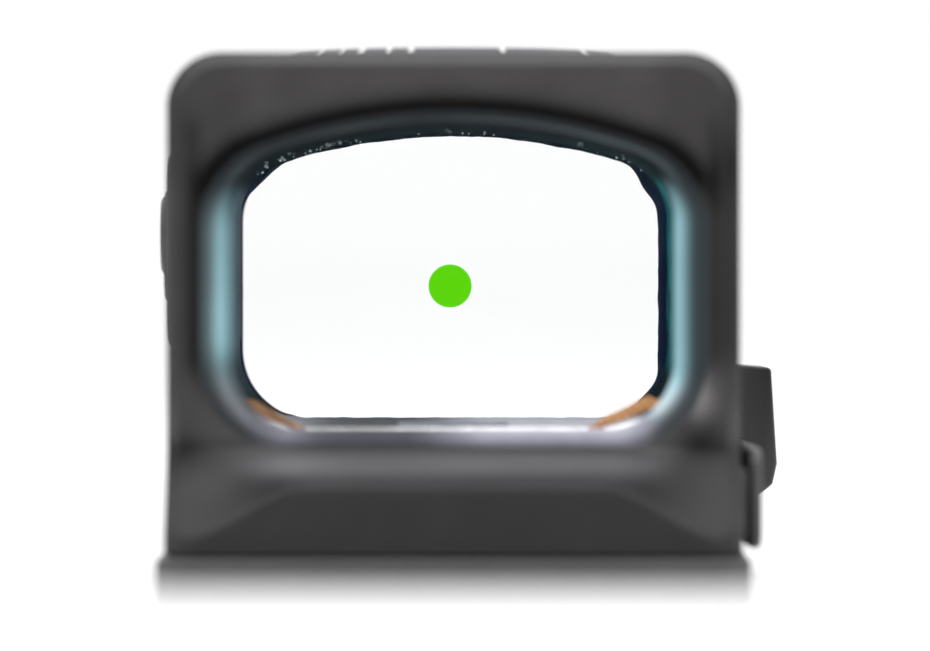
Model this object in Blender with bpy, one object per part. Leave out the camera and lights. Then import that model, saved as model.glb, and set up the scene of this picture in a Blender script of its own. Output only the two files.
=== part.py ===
"""Enclosed reflex (red dot) finder.

A box-shaped aluminium housing carries a sealed rear and front window. Inside its tunnel an optical
cell, with a collimating doublet and a small light source at its foot, hangs on a gimbal ring. A dial
on the roof and a screw on the right-hand boss push the cell through small plungers, so that the dot
moves up and down or left and right. A sliding tray on the right holds a coin cell, and two buttons on
the left set the brightness.

X is to the user's right, Y points to the front lens, Z is up. The origin is on the centreline of the
underside. All lengths are in millimetres; MM turns them into metres.
"""
import itertools
import math

import bmesh
import bpy
from mathutils import Matrix, Vector

MM = 0.001
SHARP_ANGLE = math.radians(32)      # edges steeper than this are shaded sharp

# ---- housing ----
HALF_W = 15.2            # half width
TOP_Z = 29.0             # roof
FOOT_Z = 2.45            # underside of the housing, just above the plate
FRONT_Y = 20.0
FRAME_Y = -15.0          # plane of the window frame on the user's side
CHIN_Y = -20.0           # face of the chin below the window
SHOULDER_R = 2.9         # radius of the two upper corners
SHOULDER_X = HALF_W - SHOULDER_R
SHOULDER_Z = TOP_Z - SHOULDER_R
EDGE = 0.6               # chamfer round the rear and front rims
CHIN_TOP_Z = 8.1         # where the chin starts to slope out
CHIN_LIP_Z = 6.15        # upper edge of the chin's flat face at the middle
CHIN_DROP = 2.7          # how far that edge falls towards the sides
CHIN_FLAT_X = 7.6        # the edge is level up to here
CHIN_FALL_W = 6.6        # width over which it falls
CHIN_SIDE_X = 12.4       # from here outwards the chin recedes a little

# ---- window contours ----
# half width, lowest z, highest z, bottom radius, top radius, arch radius
LIP_OUT = (13.36, 8.15, 25.85, 4.6, 4.6, 30.0)
LIP_IN = (11.73, 9.0, 25.02, 3.7, 3.5, 29.5)
TUNNEL = (13.8, 7.3, 27.0, 2.0, 3.6, 34.0)
FRONT_SEAT = (14.3, 6.8, 27.45, 2.3, 3.9, 35.0)
REAR_GLASS = (12.9, 8.15, 26.0, 2.6, 3.4, 33.0)
REAR_SEAL_OUT = (13.7, 7.4, 26.9, 1.95, 3.55, 34.0)
REAR_SEAL_IN = (12.97, 8.08, 26.08, 2.66, 3.45, 33.0)
FRONT_GLASS = (13.4, 7.7, 26.55, 2.4, 3.6, 34.0)
FRONT_SEAL_OUT = (14.22, 6.88, 27.37, 2.25, 3.85, 35.0)
FRONT_SEAL_IN = (13.47, 7.63, 26.62, 2.45, 3.65, 34.0)
FRONT_FRAME_IN = (12.75, 8.2, 25.95, 3.2, 3.5, 33.0)
CLEAR = (12.1, 8.95, 25.25, 4.0, 3.66, 31.5)      # clear opening of the optical cell
CELL_OUT = (13.2, 7.85, 26.35, 2.4, 3.3, 33.0)
LENS_SEAT = (12.62, 8.42, 25.78, 4.2, 3.9, 32.0)
LENS_EDGE = (12.56, 8.48, 25.72, 4.16, 3.86, 32.0)
RETAINER_IN = (12.12, 8.93, 25.27, 4.0, 3.7, 31.5)
RING_IN = (12.75, 8.4, 25.62, 2.6, 3.5, 32.0)
RING_OUT = (13.45, 7.62, 26.55, 2.2, 3.5, 33.5)
LIP_DEPTH = 1.8
LIP_END_Y = FRAME_Y + LIP_DEPTH

# ---- gimbal ----
PIVOT_Y, PIVOT_Z = -9.4, 17.1
PIVOT = (0, PIVOT_Y, PIVOT_Z)
UPRIGHT_PIN = (0, PIVOT_Y)          # x, y of the top and bottom pins
CROSS_PIN = (PIVOT_Y, PIVOT_Z)      # y, z of the left and right pins
PIN_R = 0.5
PRESS_GAP, LOOSE_GAP = 0.03, 0.05   # clearance round the pins

# ---- elevation dial (turns about Z) ----
DIAL_Y = 4.0
DIAL_AXIS = (0, DIAL_Y)
DIAL_R = 9.7
DIAL_Z0, DIAL_Z1 = 28.5, 29.58
RECESS_Z = DIAL_Z0 - 0.1            # floor of the dial recess
RECESS_CUT_Z = RECESS_Z + 0.2       # cuts below the recess reach up to here
HUB_R = 2.4
DIAL_SEAL_R = 6.0
CLICK_Y0, CLICK_Y1 = 11.2, 12.4     # elevation click spring

# ---- windage screw (turns about X) ----
WIND_Y, WIND_Z = 11.0, 8.4
WIND_AXIS = (WIND_Y, WIND_Z)
DETENT_X = 15.6
DETENT_AXIS = (DETENT_X, WIND_Z)    # x, z of the bore for ball, spring and plug

# ---- brightness buttons ----
BUTTONS = (("down", 6.6), ("up", 12.8))           # name, y
BUTTON_Z = 19.45
BUTTON_R = 2.2
BUTTON_POCKET = (2.8, 16.6, 16.4, 22.5)           # y from, y to, z from, z to
RIBBON_Y0, RIBBON_Y1 = 4.9, 7.7
RIBBON_GAP = 0.2
RIBBON_SLOT = (RIBBON_Y0 - RIBBON_GAP, RIBBON_Y1 + RIBBON_GAP)
RIBBON_SLOT_X0, RIBBON_SLOT_X1 = -13.72, -13.3

# ---- battery tray and bay ----
COIN_AXIS = (5.6, -4.3)
COIN_R = 8.0
TRAY_SCREW_Y, TRAY_SCREW_Z = 5.6, 5.2
TRAY_SCREW_AXIS = (TRAY_SCREW_Y, TRAY_SCREW_Z)
BAY = (-12.6, 12.6, -13.2, 12.0)                  # x from, x to, y from, y to
COVER_REBATE = (-13.65, 13.65, -16.45, 15.25)

# ---- plate ----
PLATE = (-15.6, 15.6, -21.0, 20.6)                # x from, x to, y from, y to
PLATE_T = 2.4
PLATE_HOLE_Y = (-18.2, 17.7)
PLATE_HOLE_R = 1.5                                # centre holes
PLATE_SCREWS = [(x, y) for y in PLATE_HOLE_Y for x in (-10.5, 10.5)]
COVER_SCREWS = [(x, y) for y in (-15.2, 14.0) for x in (-11.8, 11.8)]

for old in list(bpy.data.objects):
    bpy.data.objects.remove(old, do_unlink=True)

# finish: (base colour, roughness, metallic)
FINISH = {
    "anodised": ((0.030, 0.028, 0.030), 0.42, 0.9),
    "plate": ((0.035, 0.033, 0.034), 0.5, 0.9),
    "steel": ((0.42, 0.42, 0.43), 0.32, 1.0),
    "black_steel": ((0.05, 0.05, 0.055), 0.38, 1.0),
    "brass": ((0.62, 0.45, 0.2), 0.3, 1.0),
    "glass": ((0.75, 0.88, 0.9), 0.03, 0.0),
    "rubber": ((0.02, 0.02, 0.021), 0.75, 0.0),
    "board": ((0.01, 0.11, 0.06), 0.45, 0.0),
    "chip": ((0.012, 0.012, 0.013), 0.4, 0.0),
    "amber": ((0.75, 0.36, 0.09), 0.35, 0.0),
    "plastic": ((0.03, 0.03, 0.032), 0.5, 0.0),
    "led": ((0.2, 0.9, 0.15), 0.2, 0.0),
    "coin": ((0.62, 0.62, 0.62), 0.25, 1.0),
}


def material(key):
    """One Principled material per finish."""
    name = "m_" + key
    mat = bpy.data.materials.get(name)
    if mat is None:
        mat = bpy.data.materials.new(name)
        mat.use_nodes = True
        colour, roughness, metallic = FINISH[key]
        shader = mat.node_tree.nodes["Principled BSDF"]
        shader.inputs["Base Color"].default_value = (*colour, 1)
        shader.inputs["Roughness"].default_value = roughness
        shader.inputs["Metallic"].default_value = metallic
        mat.diffuse_color = (*colour, 1)
    return mat


# ------------------------------------------------------------------ profiles
# A profile is a list of (u, v) points: (y, z) on axis x, (x, z) on axis y, (x, y) on axis z.
def arc(centre_u, centre_v, radius, start, sweep, steps):
    angles = [start + sweep * i / steps for i in range(steps + 1)]
    return [(centre_u + radius * math.cos(a), centre_v + radius * math.sin(a)) for a in angles]


def outline(spec, corner_steps=5, arch_steps=8):
    """Window contour: flat foot, upright sides, arched top. Counter-clockwise in (x, z)."""
    half_w, low, high, low_r, high_r, arch_r = spec
    arch_z = high - arch_r
    corner_z = arch_z + math.sqrt((arch_r - high_r) ** 2 - (half_w - high_r) ** 2)
    meet = math.atan2(corner_z - arch_z, half_w - high_r)     # where corner meets arch
    right = arc(half_w - low_r, low + low_r, low_r, -math.pi / 2, math.pi / 2, corner_steps)
    right += arc(half_w - high_r, corner_z, high_r, 0, meet, corner_steps)
    arch = arc(0, arch_z, arch_r, meet, math.pi - 2 * meet, arch_steps)[1:-1]
    return right + arch + [(-x, z) for x, z in reversed(right)]


def circle(centre, radius, sides):
    return arc(*centre, radius, 0, 2 * math.pi, sides)[:-1]


def rounded(left, right, low, high, radius, steps=4):
    """Rectangle with round corners, counter-clockwise."""
    corners = ((right - radius, low + radius, -90), (right - radius, high - radius, 0),
               (left + radius, high - radius, 90), (left + radius, low + radius, 180))
    points = []
    for u, v, start in corners:
        points += arc(u, v, radius, math.radians(start), math.pi / 2, steps)
    return points


def shrunk(bounds, inset):
    """Rectangle bounds moved inwards on all four sides; a negative inset enlarges them."""
    left, right, low, high = bounds
    return left + inset, right - inset, low + inset, high - inset


def bow(start, end, level, crest, steps=8):
    """A shallow arch for leaf springs."""
    return [(start + (end - start) * i / steps,
             level + (crest - level) * math.sin(math.pi * i / steps)) for i in range(steps + 1)]


# ------------------------------------------------------------------ meshes
def place(axis, u, v, along):
    """A point from its two profile coordinates and its distance along the axis."""
    if axis == "x":
        return Vector((along, u, v))
    if axis == "y":
        return Vector((u, along, v))
    return Vector((u, v, along))


def flat_ring(mesh, points, axis, along):
    return [mesh.verts.new(place(axis, u, v, along)) for u, v in points]


def bridge(mesh, first, second):
    """Faces between two closed rings."""
    for i in range(len(first)):
        j = (i + 1) % len(first)
        mesh.faces.new((first[i], first[j], second[j], second[i]))


def skin(mesh, rings):
    """Faces along a row of rings, capped at both ends."""
    for first, second in zip(rings, rings[1:]):
        bridge(mesh, first, second)
    mesh.faces.new(rings[0])
    mesh.faces.new(rings[-1])


def loft(levels, axis):
    """Closed solid through flat rings: levels is a list of (points, distance along the axis)."""
    mesh = bmesh.new()
    skin(mesh, [flat_ring(mesh, points, axis, along) for points, along in levels])
    return mesh


def prism(points, axis, start, end):
    """A profile extruded along an axis."""
    mesh = bmesh.new()
    face = mesh.faces.new(flat_ring(mesh, points, axis, start))
    extruded = bmesh.ops.extrude_face_region(mesh, geom=[face])
    moved = [g for g in extruded["geom"] if isinstance(g, bmesh.types.BMVert)]
    bmesh.ops.translate(mesh, verts=moved, vec=place(axis, 0, 0, end - start))
    return mesh


def tube(outer, inner, axis, start, end):
    """A frame between two contours with the same number of points."""
    mesh = bmesh.new()
    outer_start, outer_end, inner_start, inner_end = [
        flat_ring(mesh, points, axis, along) for points in (outer, inner) for along in (start, end)]
    bridge(mesh, outer_start, outer_end)
    bridge(mesh, outer_end, inner_end)
    bridge(mesh, inner_end, inner_start)
    bridge(mesh, inner_start, outer_start)
    return mesh


def block(x_min, x_max, y_min, y_max, z_min, z_max):
    mesh = bmesh.new()
    bmesh.ops.create_cube(mesh, size=1.0)
    size = (x_max - x_min, y_max - y_min, z_max - z_min)
    middle = ((x_min + x_max) / 2, (y_min + y_max) / 2, (z_min + z_max) / 2)
    bmesh.ops.scale(mesh, vec=size, verts=mesh.verts)
    bmesh.ops.translate(mesh, vec=middle, verts=mesh.verts)
    return mesh


def turned(profile, axis, centre, steps, closed=False):
    """A profile of (radius, distance along the axis) spun round an axis through centre."""
    mesh = bmesh.new()
    verts = [mesh.verts.new(place(axis, centre[0] + radius, centre[1], along))
             for radius, along in profile]
    edges = [mesh.edges.new(pair) for pair in zip(verts, verts[1:])]
    if closed:
        edges.append(mesh.edges.new((verts[-1], verts[0])))
    bmesh.ops.spin(mesh, geom=verts + edges, cent=place(axis, *centre, 0),
                   axis=place(axis, 0, 0, 1), angle=2 * math.pi, steps=steps, use_merge=True)
    bmesh.ops.remove_doubles(mesh, verts=mesh.verts, dist=1e-5)
    return mesh


def torus(axis, centre, along, major, minor, steps, sides):
    return turned(circle((major, along), minor, sides), axis, centre, steps, closed=True)


def coil(axis, centre, start, end, radius, wire, turns, per_turn, sides):
    """Compression spring with plain cut ends; wire is the radius of the wire."""
    mesh = bmesh.new()
    steps = int(turns * per_turn)
    rings = []
    for i in range(steps + 1):
        angle = 2 * math.pi * i / per_turn
        middle = start + wire + (end - start - 2 * wire) * i / steps
        rings.append([
            mesh.verts.new(place(axis, centre[0] + reach * math.cos(angle),
                                 centre[1] + reach * math.sin(angle), along))
            for reach, along in circle((radius, middle), wire, sides)])
    skin(mesh, rings)
    return mesh


def strip(path, thick, axis, start, end):
    """A bent ribbon: a polyline given a thickness and swept straight along the axis."""
    upper, lower = [], []
    for i, point in enumerate(path):
        before = path[max(i - 1, 0)]
        after = path[min(i + 1, len(path) - 1)]
        run = Vector((after[0] - before[0], after[1] - before[1])).normalized()
        offset = Vector((-run.y, run.x)) * thick / 2
        upper.append((point[0] + offset.x, point[1] + offset.y))
        lower.append((point[0] - offset.x, point[1] - offset.y))
    return prism(upper + lower[::-1], axis, start, end)


def c_clip(axis, centre, start, end, inner_r, outer_r, gap_deg, steps=18):
    """Flat open retaining ring."""
    gap = math.radians(gap_deg / 2)
    sweep = 2 * math.pi - 2 * gap
    outer = arc(*centre, outer_r, gap, sweep, steps)
    inner = arc(*centre, inner_r, gap, sweep, steps)
    return prism(outer + inner[::-1], axis, start, end)


# ------------------------------------------------------------------ objects
def solid(name, mesh, finish=None, origin=(0, 0, 0)):
    """Turn a bmesh in millimetres into a named object with its origin at the given point."""
    origin = Vector(origin)
    bmesh.ops.translate(mesh, verts=mesh.verts, vec=-origin)
    bmesh.ops.scale(mesh, vec=(MM, MM, MM), verts=mesh.verts)
    bmesh.ops.recalc_face_normals(mesh, faces=mesh.faces)
    data = bpy.data.meshes.new(name)
    mesh.to_mesh(data)
    mesh.free()
    piece = bpy.data.objects.new(name, data)
    piece.location = origin * MM
    bpy.context.scene.collection.objects.link(piece)
    if finish:
        data.materials.append(material(finish))
        data.shade_smooth()
        data.set_sharp_from_angle(angle=SHARP_ANGLE)
    return piece


tool_numbers = itertools.count(1)


def shape_with(piece, mesh, operation):
    """Boolean modifier with its own hidden tool object."""
    number = next(tool_numbers)
    tool = solid("%s_tool_%02d" % (piece.name, number), mesh)
    tool.hide_render = True
    tool.display_type = "WIRE"
    mod = piece.modifiers.new("cut_%02d" % number, "BOOLEAN")
    mod.operation = operation
    mod.solver = "EXACT"
    mod.object = tool


def cut(piece, mesh):
    shape_with(piece, mesh, "DIFFERENCE")


def add(piece, mesh):
    shape_with(piece, mesh, "UNION")


def drill(piece, axis, centre, start, end, radius, sides=20):
    cut(piece, prism(circle(centre, radius, sides), axis, start, end))


# ------------------------------------------------------------------ housing
SHOULDER_ANGLES = (22, 44, 64)      # degrees above horizontal
ROWS_ABOVE_CHIN = [CHIN_TOP_Z, 17.0, SHOULDER_Z] + [
    SHOULDER_Z + SHOULDER_R * math.sin(math.radians(a)) for a in SHOULDER_ANGLES] + [TOP_Z]
CHIN_ROWS = (0.0, 0.2, 0.42, 0.68)  # fractions from the chin's edge up to the window frame
COLUMNS = (0.0, 0.3, 0.5, 0.6, 0.69, 0.78, 0.87)        # fractions of the half width


def half_width(z):
    if z <= SHOULDER_Z:
        return HALF_W
    return SHOULDER_X + math.sqrt(max(0.0, SHOULDER_R ** 2 - (z - SHOULDER_Z) ** 2))


def rim_distance(x, z):
    """Distance from the outer contour, ignoring the foot."""
    if abs(x) > SHOULDER_X and z > SHOULDER_Z:
        return SHOULDER_R - math.hypot(abs(x) - SHOULDER_X, z - SHOULDER_Z)
    return min(HALF_W - abs(x), TOP_Z - z)


def chin_edge(x):
    """Height of the upper edge of the chin's flat face: level at the middle, then falling."""
    t = min(1.0, max(0.0, (abs(x) - CHIN_FLAT_X) / CHIN_FALL_W))
    return CHIN_LIP_Z - CHIN_DROP * t * t * (3 - 2 * t)


def rear_face(x, z):
    """Y of the user's side of the housing."""
    slope = min(1.0, max(0.0, (CHIN_TOP_Z - z) / (CHIN_TOP_Z - chin_edge(x))))
    out = (FRAME_Y - CHIN_Y) * slope ** 1.25
    side = max(0.0, (abs(x) - CHIN_SIDE_X) / (HALF_W - CHIN_SIDE_X))
    out *= 1.0 - 0.22 * side ** 2
    return FRAME_Y - out + max(0.0, EDGE - rim_distance(x, z))


def inset_rim(x, z):
    """A rim point moved in by the front chamfer; the foot stays level."""
    if abs(x) > SHOULDER_X and z > SHOULDER_Z:
        scale = (SHOULDER_R - EDGE) / math.hypot(abs(x) - SHOULDER_X, z - SHOULDER_Z)
        inner_x = SHOULDER_X + (abs(x) - SHOULDER_X) * scale
        return math.copysign(inner_x, x), SHOULDER_Z + (z - SHOULDER_Z) * scale
    if z > TOP_Z - 1e-6:
        return x, z - EDGE
    return max(-HALF_W + EDGE, min(HALF_W - EDGE, x)), z


def row_points(row):
    """The (x, z) points of one row of the rear face, left to right; row 0 is the foot."""
    top = row - 1 - len(CHIN_ROWS)
    width = half_width(ROWS_ABOVE_CHIN[top]) if top >= 0 else HALF_W
    right = [width * c for c in COLUMNS] + [width - EDGE, width]
    points = []
    for x in [-x for x in reversed(right[1:])] + right:
        if row == 0:
            z = FOOT_Z
        elif top < 0:
            z = chin_edge(x) + (CHIN_TOP_Z - chin_edge(x)) * CHIN_ROWS[row - 1]
        else:
            z = ROWS_ABOVE_CHIN[top]
        points.append((x, z))
    return points


def housing_blank():
    """Rear face as a grid that follows the chin, then straight sides and a chamfered front rim."""
    mesh = bmesh.new()
    grid = [[mesh.verts.new((x, rear_face(x, z), z)) for x, z in row_points(row)]
            for row in range(1 + len(CHIN_ROWS) + len(ROWS_ABOVE_CHIN))]
    for lower, upper in zip(grid, grid[1:]):
        for i in range(len(lower) - 1):
            mesh.faces.new((lower[i], lower[i + 1], upper[i + 1], upper[i]))
    rim = grid[0] + [row[-1] for row in grid[1:-1]]
    rim += grid[-1][::-1] + [row[0] for row in reversed(grid[1:-1])]
    near = flat_ring(mesh, [(v.co.x, v.co.z) for v in rim], "y", FRONT_Y - EDGE)
    far = flat_ring(mesh, [inset_rim(v.co.x, v.co.z) for v in rim], "y", FRONT_Y)
    bridge(mesh, rim, near)
    bridge(mesh, near, far)
    mesh.faces.new(far)
    return mesh


# windage boss on the right-hand side: x, z
BOSS = [(14.9, 5.0), (17.3, 5.0), (18.22, 6.6), (17.9, 11.7), (15.2, 12.27), (14.9, 12.3)]
BOSS_HALF_L = 4.0
LIP_OVERRUN = 0.5        # the bevelled cut starts this far outside the frame

housing = solid("housing", housing_blank(), "anodised")
add(housing, prism(BOSS, "y", WIND_Y - BOSS_HALF_L, WIND_Y + BOSS_HALF_L))
# bevelled lip, then the tunnel behind it
lip_inner = outline(LIP_IN)
widen = LIP_OVERRUN / LIP_DEPTH
lip_outer = [(out_x + (out_x - in_x) * widen, out_z + (out_z - in_z) * widen)
             for (out_x, out_z), (in_x, in_z) in zip(outline(LIP_OUT), lip_inner)]
cut(housing, loft([(lip_outer, FRAME_Y - LIP_OVERRUN), (lip_inner, LIP_END_Y),
                   (lip_inner, LIP_END_Y + 0.4)], "y"))
cut(housing, prism(outline(TUNNEL), "y", LIP_END_Y, FRONT_Y + 1))
cut(housing, prism(outline(FRONT_SEAT), "y", 17.6, FRONT_Y + 1.2))
# roof: dial recess, seal groove, hub bore and clip pocket, click spring groove
drill(housing, "z", DIAL_AXIS, RECESS_Z, TOP_Z + 1, DIAL_R + 0.17, 40)
cut(housing, tube(circle(DIAL_AXIS, DIAL_SEAL_R + 0.55, 26),
                  circle(DIAL_AXIS, DIAL_SEAL_R - 0.55, 26), "z", 27.72, RECESS_CUT_Z))
drill(housing, "z", DIAL_AXIS, 26.0, RECESS_CUT_Z, HUB_R + 0.1, 24)
drill(housing, "z", DIAL_AXIS, 25.0, 27.06, 3.8, 24)
cut(housing, block(-3.5, 3.5, CLICK_Y0 - 0.15, CLICK_Y1 + 0.15, 28.05, RECESS_CUT_Z))
# gimbal pins stand in the roof and in the floor of the tunnel
for low, high in ((26.0, 28.2), (6.62, 8.0)):
    drill(housing, "z", UPRIGHT_PIN, low, high, PIN_R + PRESS_GAP, 16)
# windage bores: head, shank, clip pocket; then the detent bore and its wider mouth
for start, end, radius in ((16.2, 19.0, 2.12), (14.0, 16.5, 1.5), (12.9, 14.72, 2.6)):
    drill(housing, "x", WIND_AXIS, start, end, radius, 24)
drill(housing, "y", DETENT_AXIS, 12.0, 16.0, 0.5, 14)
drill(housing, "y", DETENT_AXIS, 14.3, 16.0, 0.72, 14)
# button pocket and the slots for its ribbon
cut(housing, prism(rounded(*BUTTON_POCKET, 0.8), "x", -16.0, -14.2))
cut(housing, block(-14.5, RIBBON_SLOT_X1, *RIBBON_SLOT, 16.9, 17.8))
cut(housing, block(RIBBON_SLOT_X0, RIBBON_SLOT_X1, *RIBBON_SLOT, 5.2, 9.0))
# bay for the coin cell and the electronics, its ribbon slot, rebate and the tray mouth
cut(housing, prism(rounded(*BAY, 0.8), "z", 3.4, 6.4))
cut(housing, block(RIBBON_SLOT_X0, -12.4, *RIBBON_SLOT, 4.6, 6.0))
cut(housing, prism(rounded(*COVER_REBATE, 1.2), "z", 1.5, 3.7))
cut(housing, prism(rounded(-13.15, 4.55, 3.72, 6.2, 0.4), "x", 12.0, 16.0))
for centre in COVER_SCREWS:
    drill(housing, "z", centre, 3.0, 6.6, 0.66, 14)
for centre in PLATE_SCREWS:
    drill(housing, "z", centre, 1.5, 5.1, 1.02, 16)
for y in PLATE_HOLE_Y:
    drill(housing, "z", (0, y), 1.5, 5.4, PLATE_HOLE_R, 18)
drill(housing, "x", TRAY_SCREW_AXIS, 12.75, 16.0, 0.8, 14)

# ------------------------------------------------------------------ base
PLATE_EDGE = 0.3         # chamfer
PLATE_CORNER_R = 2.2
# radius, z
PLATE_SINK = [(0, 0.95), (1.05, 0.95), (1.95, 0.0), (2.45, -0.5), (0, -0.5)]
PLATE_SCREW = [(0, 4.9), (0.8, 4.9), (0.95, 4.6), (0.95, 0.99), (1.8, 0.12), (0, 0.12)]
COVER_SINK = [(0, 3.0), (0.68, 3.0), (1.35, 2.48), (1.35, 2.0), (0, 2.0)]
COVER_SCREW = [(0, 6.2), (0.5, 6.2), (0.6, 6.0), (0.6, 3.0), (1.2, 2.54), (0, 2.54)]

plate = solid("mounting_plate", loft([
    (rounded(*shrunk(PLATE, inset), PLATE_CORNER_R - inset), z)
    for inset, z in ((PLATE_EDGE, 0.0), (0.0, PLATE_EDGE),
                     (0.0, PLATE_T - PLATE_EDGE), (PLATE_EDGE, PLATE_T))], "z"), "plate")
for centre in PLATE_SCREWS:
    drill(plate, "z", centre, -1, 3, 1.1, 16)
    cut(plate, turned(PLATE_SINK, "z", centre, 18))
for y in PLATE_HOLE_Y:
    drill(plate, "z", (0, y), -1, 3, PLATE_HOLE_R, 18)
for x in (-9.0, 9.0):                # blind holes in the underside
    drill(plate, "z", (x, 0), -1, 1.2, 1.6, 18)

for i, centre in enumerate(PLATE_SCREWS, 1):
    screw = solid("plate_screw_%d" % i, turned(PLATE_SCREW, "z", centre, 18),
                  "black_steel", (*centre, 0))
    drill(screw, "z", centre, -0.5, 0.75, 0.75, 6)          # hexagon socket

cover = solid("base_cover", prism(rounded(*shrunk(COVER_REBATE, 0.1), 1.1), "z", 2.5, 3.2),
              "anodised")
for i, centre in enumerate(COVER_SCREWS, 1):
    drill(cover, "z", centre, 2, 4, 0.7, 14)
    cut(cover, turned(COVER_SINK, "z", centre, 16))
    screw = solid("base_cover_screw_%d" % i, turned(COVER_SCREW, "z", centre, 16),
                  "steel", (*centre, 3))
    drill(screw, "z", centre, 2.0, 2.9, 0.42, 6)            # hexagon socket
solid("base_cover_gasket", tube(rounded(*shrunk(BAY, -0.8), 1.2),
                                rounded(*shrunk(BAY, -0.15), 0.9), "z", 3.25, 3.65), "rubber")


# ------------------------------------------------------------------ windows
def frame(name, outer, inner, start, end, finish):
    solid(name, tube(outline(outer), outline(inner), "y", start, end), finish)


REAR_GLASS_Y = -13.12
solid("rear_window", prism(outline(REAR_GLASS), "y", REAR_GLASS_Y, -11.7), "glass")
frame("rear_window_seal", REAR_SEAL_OUT, REAR_SEAL_IN, REAR_GLASS_Y, -11.5, "rubber")
solid("front_window", prism(outline(FRONT_GLASS), "y", 17.72, 19.1), "glass")
frame("front_window_seal", FRONT_SEAL_OUT, FRONT_SEAL_IN, 17.68, 19.15, "rubber")
frame("front_window_frame", FRONT_SEAL_OUT, FRONT_FRAME_IN, 19.22, FRONT_Y, "anodised")


# ------------------------------------------------------------------ gimbal
def gimbal_pin(name, axis, centre, low, high, chamfer):
    """Chamfered pin with its origin at its low end."""
    tip_r = PIN_R - chamfer
    profile = [(0, high), (tip_r, high), (PIN_R, high - chamfer),
               (PIN_R, low + chamfer), (tip_r, low), (0, low)]
    solid("gimbal_pin_" + name, turned(profile, axis, centre, 14), "steel",
          place(axis, *centre, low))


RING_HALF_L = 1.2
gimbal_pin("top", "z", UPRIGHT_PIN, 25.8, 28.1, 0.1)
gimbal_pin("bottom", "z", UPRIGHT_PIN, 6.7, 8.2, 0.1)
ring = solid("gimbal_ring", tube(outline(RING_OUT), outline(RING_IN), "y",
                                 PIVOT_Y - RING_HALF_L, PIVOT_Y + RING_HALF_L),
             "black_steel", PIVOT)
for low, high in ((25.0, 28.0), (7.0, 9.0)):
    drill(ring, "z", UPRIGHT_PIN, low, high, PIN_R + LOOSE_GAP, 16)
for side, name in ((-1, "left"), (1, "right")):
    drill(ring, "x", CROSS_PIN, 12.0 * side, 14.0 * side, PIN_R + PRESS_GAP, 16)
    gimbal_pin(name, "x", CROSS_PIN, *sorted((12.15 * side, 13.42 * side)), 0.08)

# ------------------------------------------------------------------ optical cell
EAR_X0, EAR_X1 = 12.12, 12.62       # ears that take the left and right pins

cell = solid("cell_frame", prism(outline(CELL_OUT), "y", -7.6, 17.0), "anodised", PIVOT)
add(cell, block(10.4, 13.2, 9.4, 12.6, 7.95, 10.7))         # flat pad for the windage plunger
cut(cell, prism(outline(CLEAR), "y", -12.0, 18.0))
cut(cell, prism(outline(LENS_SEAT), "y", 11.8, 18.5))
for side in (-1, 1):
    add(cell, prism(rounded(-10.5, -6.9, PIVOT_Z - 1.5, PIVOT_Z + 1.5, 0.9), "x",
                    *sorted((EAR_X0 * side, EAR_X1 * side))))
    drill(cell, "x", CROSS_PIN, 11.9 * side, 12.9 * side, PIN_R + LOOSE_GAP, 16)
# slots for the tongues of the elevation and windage plungers
cut(cell, block(-0.62, 0.62, DIAL_Y - 1.9, DIAL_Y + 1.9, 25.88, 27.0))
cut(cell, block(12.78, 14.0, WIND_Y - 1.0, WIND_Y + 1.0, WIND_Z - 0.6, WIND_Z + 0.6))
cut(cell, block(-3.05, 3.05, -6.8, -2.6, 7.0, 9.6))         # seat for the light source

# name, rear (y, bulge), front (y, bulge); each face bulges forwards
LENSES = (
    ("collimator_rear_element", (11.9, 0.55), (13.7, 0.85)),
    ("collimator_front_element", (13.78, 0.85), (15.35, 0.95)),
)
LENS_CURVE = 0.0052      # rise per square millimetre for a bulge of 1
LENS_REACH_SQ = 170      # squared distance from the centre where a face is at its y


def lens_face(mesh, edge, face_y, bulge):
    """One domed face: three rings and a tip. Returns the outer ring."""
    middle_z = (LENS_EDGE[1] + LENS_EDGE[2]) / 2

    def dome(x, rise):
        distance = math.hypot(x, rise)
        y = face_y + LENS_CURVE * (LENS_REACH_SQ - distance * distance) * bulge
        return mesh.verts.new((x, y, middle_z + rise))

    rings = [[dome(x * f, (z - middle_z) * f) for x, z in edge] for f in (1.0, 0.7, 0.35)]
    tip = dome(0, 0)
    for outer, inner in zip(rings, rings[1:]):
        bridge(mesh, outer, inner)
    last = rings[-1]
    for i in range(len(last)):
        mesh.faces.new((last[i], last[(i + 1) % len(last)], tip))
    return rings[0]


for name, rear, front in LENSES:
    lens = bmesh.new()
    edge = outline(LENS_EDGE, corner_steps=4, arch_steps=6)
    bridge(lens, lens_face(lens, edge, *rear), lens_face(lens, edge, *front))
    solid(name, lens, "glass", PIVOT)
frame("lens_retainer", LENS_EDGE, RETAINER_IN, 16.3, 16.95, "black_steel")

# ------------------------------------------------------------------ light source
LED_TILT = math.radians(24.08)
# y, z
LED_HOLDER = [(-6.72, 7.6), (-2.66, 7.6), (-2.66, 8.0), (-4.42, 8.0), (-4.96, 9.2), (-6.72, 9.2)]
# amber ribbon that carries the current round the foot of the cell: x, z
LED_RIBBON = [
    (-12.5, 12.6), (-12.5, 10.6), (-11.9, 9.4), (-10.6, 8.5), (-9.2, 8.25),
    (9.2, 8.25), (10.6, 8.5), (11.9, 9.4), (12.5, 10.6), (12.5, 12.6),
    (12.2, 12.6), (11.7, 11.5), (10.4, 10.5), (8.8, 9.6), (7.0, 9.15),
    (-8.3, 9.1), (-9.6, 9.6), (-11.0, 10.5), (-11.8, 11.6), (-12.2, 12.6)]


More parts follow.
